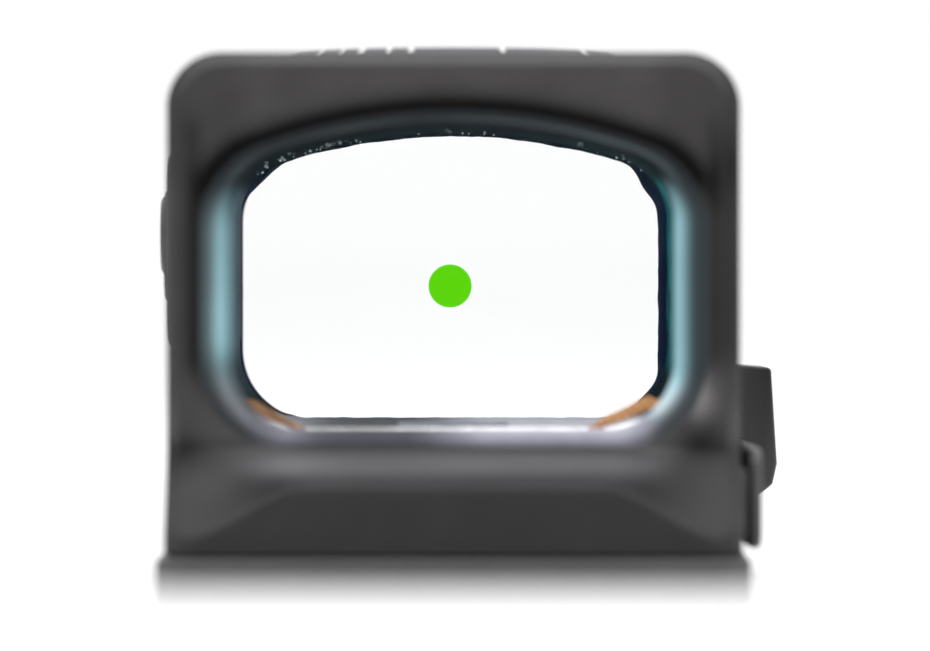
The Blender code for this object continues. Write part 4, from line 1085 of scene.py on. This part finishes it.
def barrel_skin():
    outer, seat = contour(CELL_OUT), contour(LENS_SEAT)
    rings = []
    for k in range(7):
        a = math.pi / 2 * k / 6
        rings.append(ring_at(inset(outer, 0.25 * (1 - math.sin(a))),
                             BARREL_REAR_Y + 0.25 * (1 - math.cos(a))))
    rings += [ring_at(outer, lerp(-7.3, 16.75, k / 24)) for k in range(1, 25)]
    rings += [ring_at(inset(outer, 0.2), 16.98), ring_at(inset(seat, -0.1), 16.98),
              ring_at(seat, 16.88), ring_at(seat, LENS_SEAT_Y), ring_at(clear, LENS_SEAT_Y)]
    for k in range(THREADS):           # fine anti-reflection threads
        rings.append(ring_at(inset(clear, 0.035 if k % 2 else 0.0),
                             lerp(11.6, -7.2, k / (THREADS - 1))))
    rings.append(ring_at(inset(clear, -0.004), -7.56))
    rings += [ring_at(inset(clear, -widen), BARREL_REAR_Y) for widen in (0.02, 0.17, 0.24)]
    return skin(rings, closed=True)


def build_barrel():
    # corner pad at the lower right, hollowed to the bore and the lens seat
    pad = carve(block(10.4, 13.19, 9.4, 12.6, 7.96, 10.7), [
        prism(inset(contour(CLEAR, PAD_COUNTS), -0.06), "y", 8.0, 11.76),
        prism(inset(contour(LENS_SEAT, PAD_COUNTS), -0.06), "y", 11.74, 14.0)])
    cheek = rounded(-10.5, -6.9, PIVOT_Z - 1.5, PIVOT_Z + 1.5, 0.9)
    cheeks = [slab(cheek, "x", x0, x1, 0.05, 1) for x0, x1 in ((12.16, 12.62), (-12.62, -12.16))]
    barrel = carve(barrel_skin(), [
        hole("x", CROSS_PIVOT, 11.9, 12.9, 0.55, 20),
        hole("x", CROSS_PIVOT, -12.9, -11.9, 0.55, 20),
        block(-0.62, 0.62, DIAL_Y - 1.9, DIAL_Y + 1.9, 25.88, 27.0),
        block(12.78, 14.0, WIND_Y - 1.0, WIND_Y + 1.0, WIND_Z - 0.6, WIND_Z + 0.6),
        block(-3.05, 3.05, -6.8, -2.6, 7.0, 9.6),
    ], add=[pad] + cheeks)
    piece("optical_barrel", barrel, M_BARREL, "optical_cell", ["cell_frame"], 40,
          barrel_painted_light)


def build_lock_ring():
    notches = [block(x - 0.45, x + 0.45, 16.5, 17.5, z0, z1)
               for z0, z1 in ((8.0, 8.85), (24.6, 26.2)) for x in (-8.0, 8.0)]
    ring = window_ring(LENS_EDGE, LOCK_RING_IN, 16.3, 16.95, 0.08, 2)
    piece("lens_lock_ring", carve(ring, notches), M_BLACK_STEEL, "optical_cell",
          ["lens_retainer"])


def lens_element(rear, front):
    """Lens between two domed faces, each given as (edge y, strength of the dome)."""
    edge = contour(LENS_EDGE, LENS_COUNTS)
    centre_z = (LENS_EDGE[1] + LENS_EDGE[2]) / 2

    def dome_y(face, x, z):
        r = math.hypot(x, z)
        return face[0] + 0.0052 * (170 - r * r) * face[1]

    def disc(face, shares):
        return [[Vector((x * f, dome_y(face, x * f, (z - centre_z) * f),
                         centre_z + (z - centre_z) * f)) for x, z in edge] for f in shares]

    shares = [0.02, 0.12, 0.25, 0.4, 0.55, 0.7, 0.82, 0.92, 0.985]
    middle = [Vector((x, 0.5 * (dome_y(rear, x, z - centre_z) + dome_y(front, x, z - centre_z)), z))
              for x, z in edge]
    return skin(disc(rear, shares) + [middle] + disc(front, shares[::-1]))


def build_lenses():
    for side, rear, front in (("rear", (11.9, 0.55), (13.7, 0.85)),
                              ("front", (13.78, 0.85), (15.35, 0.95))):
        piece("collimator_%s_lens" % side, lens_element(rear, front), M_LENS, "optical_cell",
              ["collimator_%s_element" % side], 25)


def bead_width(x, z):
    """Width of the cement bead, whose inner edge wanders."""
    q = Vector((x, 0, z))
    w = 0.12 + 0.07 * smooth((z - 24.0) / 0.6)
    w += noise.noise(q * 0.9 + Vector((3.1, 0, 0))) * 0.05 + noise.noise(q * 3.1) * 0.025
    w += 0.36 * smooth((x - 9.6) / 2.2) * smooth((z - 10.6) / 2.0)
    w += 0.22 * bell(x - 11.2, 1.3) * bell(z - 22.4, 1.1)
    w += 0.32 * bell(x + 11.0, 1.5) * bell(z - 22.9, 1.1)
    w -= (0.11 * smooth((-x - 11.0) / 1.0) * smooth((21.6 - z) / 1.2)
          * smooth((z - 13.0) / 1.0))
    w += 0.07 * smooth((9.3 - z) / 0.2)
    w += 0.16 * bell(x - 11.0, 0.8) * bell(z - 10.3, 0.8)
    return max(0.02, w)


def bead_painted_glow(x, y, z):
    """Painted light: a foot glow along the bottom, faint blue at the sides."""
    foot = foot_glow(x) * 0.75 * smooth((9.35 - z) / 0.2)
    blue = 0.012 * smooth((abs(x) - 10.5) / 1.0)
    return (foot * 0.95 + blue * 0.15, foot * 0.97 + blue * 0.2, foot * 1.12 + blue)


def build_sealant():
    """Dark cement bead on the bore behind the rear lens."""
    widths = [bead_width(x, z) for x, z in clear]

    def ring(y, bulge, shift):
        return [Vector((p[0] + n.x * (w * bulge - shift), y, p[1] + n.y * (w * bulge - shift)))
                for p, n, w in zip(clear, clear_inward, widths)]

    steps = [math.pi * k / 8 for k in range(9)]
    rings = [ring(10.9 - 1.3 * math.cos(a), math.sin(a), 0.02) for a in steps]
    rings += [ring(12.1, 0.0, 0.12), ring(9.6, 0.0, 0.12)]
    piece("lens_sealant", skin(rings, closed=True), M_SEALANT, "optical_cell",
          sharp=60, paint=bead_painted_glow)


def build_painted_glints():
    """Specks of filler left on the upper barrel wall, most of them on the left; their pale colour and
    glow are painted glints.
    """
    rng = random.Random(11)
    flecks = []
    for i in range(64):
        u = rng.random()
        if i < 46:
            x = lerp(-11.2, -5.2, u ** 0.8)
        elif i < 56:
            x = lerp(7.0, 11.2, u)
        else:
            x = lerp(-4.5, 2.5, u)
        near = [j for j, p in enumerate(clear) if p[1] > 19 and abs(p[0] - x) < 0.35]
        j = near[len(near) // 2]
        p, n = clear[j], clear_inward[j]
        y = lerp(-2.0, 9.6, rng.random() ** 0.6)
        size = lerp(0.03, 0.085, rng.random() ** 2)
        speck = bmesh.new()
        bmesh.ops.create_icosphere(speck, subdivisions=1, radius=size)
        for v in speck.verts:
            v.co *= 1 + 0.5 * noise.noise(v.co * 40 + Vector((i, 0, 0)))
            v.co.y *= 1.6
        bmesh.ops.translate(speck, verts=speck.verts,
                            vec=(p[0] + n.x * 0.03, y, p[1] + n.y * 0.03))
        flecks.append(speck)
    piece("sealant_flecks", joined(*flecks), M_PAINTED_GLINT, "optical_cell",
          sharp=80)


def build_gimbal():
    ring = window_ring(GIMBAL_OUT, GIMBAL_IN, -10.6, -8.2, 0.12, 2, GIMBAL_COUNTS)
    pivots = [hole("z", UPRIGHT_PIVOT, 25.0, 28.0, 0.55, 20),
              hole("z", UPRIGHT_PIVOT, 7.0, 9.0, 0.55, 20),
              hole("x", CROSS_PIVOT, 12.0, 14.0, 0.53, 20),
              hole("x", CROSS_PIVOT, -14.0, -12.0, 0.53, 20)]
    piece("gimbal_frame", carve(ring, pivots), M_RING, "gimbal_ring", ["gimbal_ring"])


# edges of the amber ribbon as (x, z), left to right
RIBBON_LOWER = [
    (-12.5, 12.6), (-12.4, 11.2), (-11.9, 10.25), (-10.9, 9.6), (-9.7, 9.3), (-8.5, 8.8),
    (-7.6, 8.3), (0, 8.25), (7.4, 8.3), (8.2, 9.0), (9.4, 9.46), (10.5, 9.92), (11.4, 10.25),
    (12.1, 11.0), (12.5, 12.6)]
RIBBON_UPPER = [
    (-12.16, 12.6), (-11.9, 11.5), (-11.35, 10.62), (-10.6, 10.35), (-9.75, 9.86), (-8.9, 9.4),
    (-8.1, 9.02), (-7.0, 8.74), (0, 8.70), (6.4, 8.74), (7.3, 9.0), (8.2, 9.55), (9.4, 10.1),
    (10.45, 10.66), (10.85, 10.5), (11.5, 10.62), (11.95, 11.4), (12.16, 12.6)]
RIBBON_COLUMNS, RIBBON_ROWS = 150, 6


def spline(pts, n):
    """Smooth curve through points, with n steps between each two."""
    out = []
    last = len(pts) - 1
    for i in range(last):
        around_span = pts[max(i - 1, 0)], pts[i], pts[i + 1], pts[min(i + 2, last)]
        for k in range(n):
            t = k / n
            out.append(tuple(0.5 * ((2 * b) + (-a + c) * t + (2 * a - 5 * b + 4 * c - d) * t * t
                                    + (-a + 3 * b - 3 * c + d) * t ** 3)
                             for a, b, c, d in zip(*around_span)))
    out.append(tuple(pts[-1]))
    return out


def resample(path, n):
    """n points at even distances along a path."""
    lengths = [0.0]
    for a, b in zip(path, path[1:]):
        lengths.append(lengths[-1] + math.dist(a, b))
    out, j = [], 0
    for i in range(n):
        d = lengths[-1] * i / (n - 1)
        while j < len(lengths) - 2 and lengths[j + 1] < d:
            j += 1
        t = (d - lengths[j]) / max(1e-9, lengths[j + 1] - lengths[j])
        out.append((lerp(path[j][0], path[j + 1][0], t), lerp(path[j][1], path[j + 1][1], t)))
    return out


def build_ribbon():
    """Amber ribbon at the foot of the cell. It bows a little."""
    lower = resample(spline(RIBBON_LOWER, 14), RIBBON_COLUMNS)
    upper = resample(spline(RIBBON_UPPER, 10), RIBBON_COLUMNS)
    rear = []
    for row in range(RIBBON_ROWS):
        t = row / (RIBBON_ROWS - 1)
        bow = 0.03 * math.sin(math.pi * t)
        rear.append([Vector((x, -7.79 + 0.05 * noise.noise(Vector((a[0] * 0.5, t, 0))) - bow, z))
                     for a, (x, z) in zip(lower, morph(lower, upper, t))])
    front = [[v + Vector((0, 0.08, 0)) for v in row] for row in reversed(rear)]
    bm = bmesh.new()
    grid = [[bm.verts.new(p) for p in row] for row in rear + front]
    for a, b in zip(grid, grid[1:] + grid[:1]):
        for i in range(len(a) - 1):
            bm.faces.new((a[i], a[i + 1], b[i + 1], b[i]))
    for end in (0, -1):
        bm.faces.new([row[end] for row in grid])
    bmesh.ops.recalc_face_normals(bm, faces=bm.faces)
    piece("led_ribbon_film", bm, M_FILM, "optical_cell", ["led_ribbon"], 50)


def build_dot():
    """The dot that the user sees, floating at the lens."""
    centre, r, y = (-0.18, 16.59), 1.225, 11.50
    rings = [ring_at(circle(*centre, r - less, 72), y + step)
             for less, step in ((0.004, -0.01), (0, 0.0), (0.004, 0.01))]
    dot = piece("reticle_dot", skin(rings), M_DOT, "optical_cell", sharp=60)
    dot.visible_shadow = False
    dot.visible_diffuse = False
    dot.visible_glossy = False


# ------------------------------------------------------------------ elevation dial
DIAL_FOOT_Z, DIAL_TOP_Z = 28.5, 29.58
FACE_Z = DIAL_TOP_Z - 0.14
# marks on the sloped rim: degrees from the user's side, half width
RIM_MARKS = (
    (-52.5, 0.16), (-41.5, 0.10), (-33.0, 0.16), (-22.5, 0.10), (-14.5, 0.13), (17.0, 0.12),
    (51.5, 0.17), (74, 0.1), (95, 0.1), (116, 0.1), (137, 0.1), (158, 0.1), (180, 0.16),
    (-158, 0.1), (-137, 0.1), (-116, 0.1), (-95, 0.1), (-74, 0.1))


def build_dial():
    top, foot = DIAL_TOP_Z, DIAL_FOOT_Z
    profile = fillet([
        (0, FACE_Z), (5.2, FACE_Z), (5.35, top - 0.2), (5.6, top - 0.2), (5.75, FACE_Z),
        (6.86, top - 0.13), (7.1, top), (8.95, top), (9.64, top - 0.42), (9.7, top - 0.52),
        (9.7, foot + 0.1), (9.6, foot), (2.4, foot), (2.4, 27.0), (2.05, 26.95), (2.05, 26.64),
        (2.4, 26.62), (2.4, 26.56), (0, 26.56)], 0.05, 2, closed=False)
    slot = rounded(-4.3, 4.3, DIAL_Y - 0.55, DIAL_Y + 0.55, 0.5, 6)
    cuts = [hole("z", DIAL_AXIS, 25.0, 28.9, 1.26, 32), slab(slot, "z", 29.12, 30.4, 0.02, 1)]
    for i in range(24):                # shallow scallops round the rim for grip
        a = math.radians(15 * i + 7.5)
        centre = (9.95 * math.cos(a), DIAL_Y + 9.95 * math.sin(a))
        cuts.append(lathe([(0, 28.9), (0.42, 28.9), (0.42, 30), (0, 30)], "z", centre, 16))
    piece("dial", carve(lathe(profile, "z", DIAL_AXIS, 144), cuts), M_DIAL, "elevation_dial",
          ["elevation_dial"], 30)


def build_dial_marks():
    marks = []
    for i in range(48):                # scale on the raised ring
        r0, half_w = (8.2, 0.055) if i % 4 else (7.55, 0.085)
        corners = ((r0, -half_w), (8.9, -half_w), (8.9, half_w), (r0, half_w))
        outline = radial(DIAL_AXIS, math.radians(7.5 * i), corners)
        marks.append(prism(outline, "z", DIAL_TOP_Z - 0.04, DIAL_TOP_Z + 0.008))
    # curved arrow that shows which way to turn to raise the point of impact
    arrow_r = 6.15
    angles = [math.radians(200 + 4 * k) for k in range(16)]
    marks.append(rod([Vector((*radial(DIAL_AXIS, a, [(arrow_r, 0)])[0], DIAL_TOP_Z - 0.13))
                      for a in angles], 0.07, 6))
    end = angles[-1]
    head = radial(DIAL_AXIS, end, [(5.82, 0), (6.5, 0)])
    head += radial(DIAL_AXIS, end + 0.14, [(arrow_r, 0)])
    marks.append(prism(head, "z", DIAL_TOP_Z - 0.15, DIAL_TOP_Z - 0.07))
    for degrees, half_w in RIM_MARKS:
        corners = ((8.98, -half_w), (9.36, -half_w), (9.36, half_w), (8.98, half_w))
        outline = radial(DIAL_AXIS, math.radians(degrees - 90), corners)
        drops = (0.01, 0.20, 0.20, 0.01)
        marks.append(sunk_mark([Vector((x, y, DIAL_TOP_Z - drop + 0.012))
                                for (x, y), drop in zip(outline, drops)], (0, 0, 0.062)))
    piece("dial_marks", joined(*marks), M_MARK, "elevation_dial", sharp=50)


# ------------------------------------------------------------------ windage screw
def build_windage_screw():
    profile = fillet([
        (0, 18.06), (1.25, 18.06), (1.62, 18.0), (1.98, 17.72), (1.98, 16.84), (1.4, 16.84),
        (1.4, 14.68), (1.15, 14.64), (1.15, 14.32), (1.4, 14.28), (1.4, 14.12), (0, 14.12)],
        0.06, 3, closed=False)
    cuts = [hole("x", WIND_AXIS, 13.0, 16.55, 0.86, 24),
            block(17.55, 19.0, WIND_Y - 0.28, WIND_Y + 0.28, WIND_Z - 3, WIND_Z + 3)]
    for i in range(20):                # knurl
        a = math.radians(18 * i + 9)
        centre = (WIND_Y + 2.06 * math.cos(a), WIND_Z + 2.06 * math.sin(a))
        cuts.append(hole("x", centre, 17.2, 18.6, 0.13, 8))
    piece("windage_screw_head", carve(lathe(profile, "x", WIND_AXIS, 96), cuts), M_BLACK_STEEL,
          "windage_screw", ["windage_screw"], 30)


def build_windage_marks():
    """Ticks round the screw on the sloped face of the boss."""
    half_w = 0.05
    slope_z = BOSS_HIGH[1] - BOSS_LOW[1]
    slope_x = BOSS_HIGH[0] - BOSS_LOW[0]
    marks = []
    for i in range(16):
        a = math.radians(22.5 * i)
        r0, r1 = 2.62, (2.9 if i % 4 else 3.1)
        if not 6.75 <= WIND_Z + math.sin(a) * r1 <= 11.4:
            continue
        corners = ((r0, -half_w), (r1, -half_w), (r1, half_w), (r0, half_w))
        points = []
        for (y, z), (r, _) in zip(radial(WIND_AXIS, a, corners), corners):
            height = WIND_Z + math.sin(a) * r - BOSS_LOW[1]
            points.append(Vector((BOSS_LOW[0] + height / slope_z * slope_x + 0.008, y, z)))
        marks.append(sunk_mark(points, (0.05, 0, 0)))
    piece("windage_marks", joined(*marks), M_MARK, "housing")


# ------------------------------------------------------------------ buttons
def build_bezel():
    """Rubber surround with a raised field, two wells, and fine grooves below them."""
    r = BUTTON_R
    well = [(0, -17), (r + 0.42, -17), (r + 0.42, -16.25), (r + 0.08, -15.95),
            (r + 0.08, -15.66), (r + 0.5, -15.66), (r + 0.5, -15.0), (0, -15.0)]
    cuts = [lathe(well, "x", (y, BUTTON_Z), 56) for y in BUTTON_Y]
    for k in range(5):
        z = 13.9 + 0.34 * k
        groove = rounded(4.2, 15.1, z - 0.08, z + 0.08, 0.075, 3)
        cuts.append(slab(groove, "x", -16.3, -15.84, 0.02, 1))
    field = slab(rounded(3.1, 16.3, 15.75, 21.95, 2.0, 10), "x", -16.12, -15.6, 0.16, 4)
    base = slab(rounded(1.5, 17.8, 13.2, 24.0, 2.2, 10), "x", -15.93, -15.24, 0.34, 5)
    piece("bezel", carve(base, cuts, add=[field]), M_BEZEL, "housing", ["button_bezel"],
          30)


def build_buttons():
    """Caps with a raised minus and a raised plus."""
    r = BUTTON_R
    profile = fillet([(0, -15.36), (2.6, -15.36), (2.6, -15.62), (r, -15.62), (r, -16.24),
                      (1.98, -16.38), (1.5, -16.34), (0, -16.28)], 0.08, 3, closed=False)
    half_l, half_w, z = 0.95, 0.17, BUTTON_Z
    for name, y in zip(("down", "up"), BUTTON_Y):
        bars = [slab(rounded(y - half_l, y + half_l, z - half_w, z + half_w, 0.15, 4),
                     "x", -16.375, -16.2, 0.05, 2)]
        if name == "up":
            bars.append(slab(rounded(y - half_w, y + half_w, z - half_l, z + half_l, 0.15, 4),
                             "x", -16.372, -16.2, 0.05, 2))
        body = "brightness_%s_button" % name
        piece("%s_button_cap" % name, carve(lathe(profile, "x", (y, z), 72), add=bars), M_BUTTON,
              body, [body], 32)


# ------------------------------------------------------------------ battery tray
def build_tray():
    mark_y, mark_z = -3.4, 5.3
    cuts = [
        hole("z", BATTERY_AXIS, 4.0, 7.0, BATTERY_R + 0.16, 72),
        block(-4.0, -1.2, -6.3, -2.3, 4.1, 7.0),
        hole("x", TRAY_SCREW_AXIS, 15.0, 17.5, 0.85, 24),
        lathe([(0, 15.95), (1.2, 15.95), (1.2, 16.3), (1.34, 16.44), (1.34, 17), (0, 17)], "x",
              TRAY_SCREW_AXIS, 32)]
    for k in range(7):                 # grip flutes on the cap
        y = -12.2 + 0.78 * k
        cuts.append(prism(rounded(y - 0.16, y + 0.16, 3.5, 7.1, 0.15, 4), "x", 16.28, 17.0))
    # engraved ring with a plus sign
    cuts += [frame_ring(circle(mark_y, mark_z, 1.75), circle(mark_y, mark_z, 1.6), "x",
                        16.31, 17.0, 0.01, 1),
             block(16.31, 17.0, mark_y - 0.7, mark_y + 0.7, mark_z - 0.07, mark_z + 0.07),
             block(16.31, 17.0, mark_y - 0.07, mark_y + 0.07, mark_z - 0.7, mark_z + 0.7)]
    cap = slab(rounded(-14.0, 6.6, 2.62, 8.0, 1.1, 8), "x", 15.66, 16.4, 0.3, 5)
    body = slab(rounded(-12.95, 4.35, 3.8, 6.02, 0.35, 5), "x", -2.85, 15.9, 0.12, 2)
    piece("tray", carve(body, cuts, add=[cap]), M_TRAY, "battery_tray", ["battery_tray"],
          30)


def build_coin_cell():
    x, y, r = BATTERY_X, BATTERY_Y, BATTERY_R
    profile = fillet([(0, 4.06), (6.55, 4.06), (6.7, 4.2), (7.75, 4.2), (r, 4.42), (r, 5.8),
                      (7.8, 6.0), (0, 6.0)], 0.12, 4, closed=False)
    low, high = 5.965, 6.4
    cuts = [frame_ring(circle(x, y, 6.35, 72), circle(x, y, 6.22, 72), "z", low, high, 0.01, 1),
            block(x - 1.0, x + 1.0, y - 0.13, y + 0.13, low, high),
            block(x - 0.13, x + 0.13, y - 1.0, y + 1.0, low, high)]
    piece("coin_cell", carve(lathe(profile, "z", BATTERY_AXIS, 128), cuts), M_COIN,
          "battery_tray", ["battery"], 30)


def build_tray_screw():
    y, z = TRAY_SCREW_AXIS
    profile = fillet([(0, 16.42), (0.98, 16.42), (1.14, 16.3), (1.14, 15.99), (0.74, 15.99),
                      (0.74, 13.1), (0.6, 12.95), (0, 12.95)], 0.05, 3, closed=False)
    slot = block(16.18, 17.5, y - 0.15, y + 0.15, z - 2, z + 2)
    piece("tray_screw_body", carve(lathe(profile, "x", TRAY_SCREW_AXIS, 56), [slot]),
          M_TRAY_SCREW, "tray_screw", ["tray_screw"], 30)


# ------------------------------------------------------------------ CAD parts that stay
CAD_MATERIALS = {
    "base_cover": M_PLATE, "controller_chip": M_CHIP, "control_board": M_BOARD,
    "button_board": M_BOARD, "led_board": M_BOARD, "led_holder": M_HOLDER,
    "led_emitter": M_EMITTER, "button_ribbon": M_FILM, "elevation_plunger": M_BRASS,
    "windage_plunger": M_BRASS, "windage_click_plug": M_BRASS, "battery_contact_side": M_BRASS,
    "battery_contact_top": M_BRASS, "tray_seal": M_TRAY_SEAL}


def finish_cad_parts():
    for name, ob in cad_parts.items():
        if ob.hide_render:
            continue
        if name in CAD_MATERIALS:
            material = CAD_MATERIALS[name]
        elif "seal" in name or "gasket" in name:
            material = M_GASKET
        elif "screw" in name or "pin" in name or "ball" in name:
            material = M_STEEL
        else:
            material = M_SPRING
        ob.data.materials.clear()
        ob.data.materials.append(material)
        for polygon in ob.data.polygons:
            polygon.material_index = 0


# ------------------------------------------------------------------ world and lights
# strength of the surroundings from above, the sides, behind the user and below
ENV_TOP, ENV_SIDE, ENV_BACK, ENV_LOW = 1.5, 0.9, 0.45, 0.8


def build_world():
    """Uneven white surroundings that the camera sees as plain white."""
    world = bpy.data.worlds.new("studio")
    bpy.context.scene.world = world
    world.use_nodes = True
    g = Graph(world.node_tree)
    out = g.node("OutputWorld")
    direction = g.node("SeparateXYZ", {0: g.node("TexCoord").outputs["Generated"]}).outputs
    strength = ENV_SIDE
    # axis, where the change starts and is complete, strength reached
    for axis, start, full, reached in (("Z", 0.02, 0.85, ENV_TOP), ("Y", -0.25, -0.9, ENV_BACK),
                                       ("Z", 0.0, -0.5, ENV_LOW)):
        change = g.node("MapRange", {"Value": direction[axis], "From Min": start,
                                     "From Max": full, "To Min": 0.0,
                                     "To Max": reached - ENV_SIDE},
                        interpolation_type="SMOOTHSTEP").outputs[0]
        strength = g.math("ADD", strength, change)
    strength = g.math("MAXIMUM", strength, 0.05)
    camera_ray = g.node("LightPath").outputs["Is Camera Ray"]
    seen = g.node("Mix", {0: camera_ray, 2: strength, 3: 1.0}, data_type="FLOAT").outputs[0]
    background = g.node("Background", {"Strength": seen, "Color": (1, 1, 1)})
    g.put(out.inputs["Surface"], background.outputs[0])


def softbox(name, at, target, size, power):
    light = bpy.data.lights.new(name, "AREA")
    light.shape = "RECTANGLE"
    light.size, light.size_y = size[0] * MM, size[1] * MM
    light.energy = power
    light.color = (1, 1, 1)
    ob = bpy.data.objects.new(name, light)
    ob.location = Vector(at) * MM
    toward = Vector(target) * MM - ob.location
    ob.rotation_euler = toward.to_track_quat("-Z", "Y").to_euler()
    ob.visible_camera = False
    bpy.context.scene.collection.objects.link(ob)


def build_lights():
    side_power = 0.25
    softbox("key_above", at=(0, -120, 380), target=(0, -5, 10), size=(520, 420), power=1.5)
    softbox("fill_left", at=(-380, -160, 140), target=(0, -5, 14), size=(240, 320),
            power=side_power)
    softbox("fill_right", at=(380, -160, 120), target=(0, -5, 12), size=(240, 320),
            power=side_power * 1.1)
    softbox("back_glow", at=(0, 420, 160), target=(0, 0, 15), size=(500, 260), power=0.4)


# ------------------------------------------------------------------ floor
FLOOR_HALF_W = 900
GRID_Y = (-150, 60)                    # the finely divided strip
GRID_COLUMNS, GRID_ROWS = 90, 240
SWELL_Y, SWELL_Z, SWELL_WIDTH = -95.0, 4.14, 15.0
FLOOR_GLOW = 0.6                       # how far the camera sees the floor as plain white


def floor_material():
    t = Material("pale_floor")
    cloud = t.remap(t.noise(scale=0.02, detail=3, rough=0.5), MID)
    colour = t.mix(cloud, (0.86, 0.86, 0.86), (0.89, 0.89, 0.89))
    diffuse = t.node("BsdfDiffuse", {"Color": colour, "Roughness": 0.6})
    glow = t.node("Emission", {"Color": (1, 1, 1), "Strength": 1.0})
    camera_ray = t.node("LightPath").outputs["Is Camera Ray"]
    return t.done(t.blend(t.math("MULTIPLY", camera_ray, FLOOR_GLOW), diffuse, glow))


def build_floor():
    """Flat, with one soft swell on the user's side that hides the foot of the plate."""
    bm = bmesh.new()
    half_w = FLOOR_HALF_W
    rows = []
    for j in range(GRID_ROWS + 1):
        y = lerp(*GRID_Y, j / GRID_ROWS)
        rows.append([])
        for i in range(GRID_COLUMNS + 1):
            x = lerp(-half_w, half_w, i / GRID_COLUMNS)
            z = SWELL_Z * bell(y - SWELL_Y, SWELL_WIDTH) * smooth((half_w - abs(x)) / 300)
            rows[-1].append(bm.verts.new((x, y, z)))
    for a, b in zip(rows, rows[1:]):
        for i in range(GRID_COLUMNS):
            bm.faces.new((a[i], a[i + 1], b[i + 1], b[i]))
    for y0, y1 in ((-900, GRID_Y[0]), (GRID_Y[1], 1500)):
        corners = ((-half_w, y0), (half_w, y0), (half_w, y1), (-half_w, y1))
        bm.faces.new([bm.verts.new((x, y, 0)) for x, y in corners])
    bmesh.ops.recalc_face_normals(bm, faces=bm.faces)
    bmesh.ops.scale(bm, vec=(MM, MM, MM), verts=bm.verts)
    bmesh.ops.translate(bm, verts=bm.verts, vec=(0, 0, -0.02 * MM))
    me = bpy.data.meshes.new("floor")
    bm.to_mesh(me)
    bm.free()
    me.shade_smooth()
    me.materials.append(floor_material())
    floor = bpy.data.objects.new("floor", me)
    bpy.context.scene.collection.objects.link(floor)


# ------------------------------------------------------------------ camera
def build_camera():
    """Long lens behind the sight, focused near the lens."""
    scene = bpy.context.scene
    focus = bpy.data.objects.new("focus_point", None)
    focus.location = (0, 11 * MM, 17 * MM)
    scene.collection.objects.link(focus)
    data = bpy.data.cameras.new("camera")
    data.lens, data.sensor_width = 256.0, 36.0
    data.clip_start, data.clip_end = 0.01, 10.0
    data.dof.use_dof = True
    data.dof.focus_object = focus
    data.dof.aperture_fstop = 31.0
    data.dof.aperture_blades = 0
    camera = bpy.data.objects.new("camera", data)
    camera.location = (-0.2 * MM, -365.0 * MM, 16.93 * MM)
    tilt_down, turn_right = 0.00688, 0.002313
    camera.rotation_euler = (math.pi / 2 - tilt_down, 0, -turn_right)
    scene.collection.objects.link(camera)
    scene.camera = camera
    scene.view_settings.view_transform = "Standard"
    scene.view_settings.look = "None"
    scene.cycles.transparent_max_bounces = 32


for build in (
    build_housing, build_window_rim, build_roof_marks, build_base_plate, build_plate_screws,
    build_windows, build_barrel, build_lock_ring, build_lenses, build_sealant, build_painted_glints,
    build_gimbal, build_ribbon, build_dot, build_dial, build_dial_marks, build_windage_screw,
    build_windage_marks, build_bezel, build_buttons, build_tray, build_coin_cell,
    build_tray_screw, finish_cad_parts, build_world, build_lights, build_floor, build_camera,
):
    build()
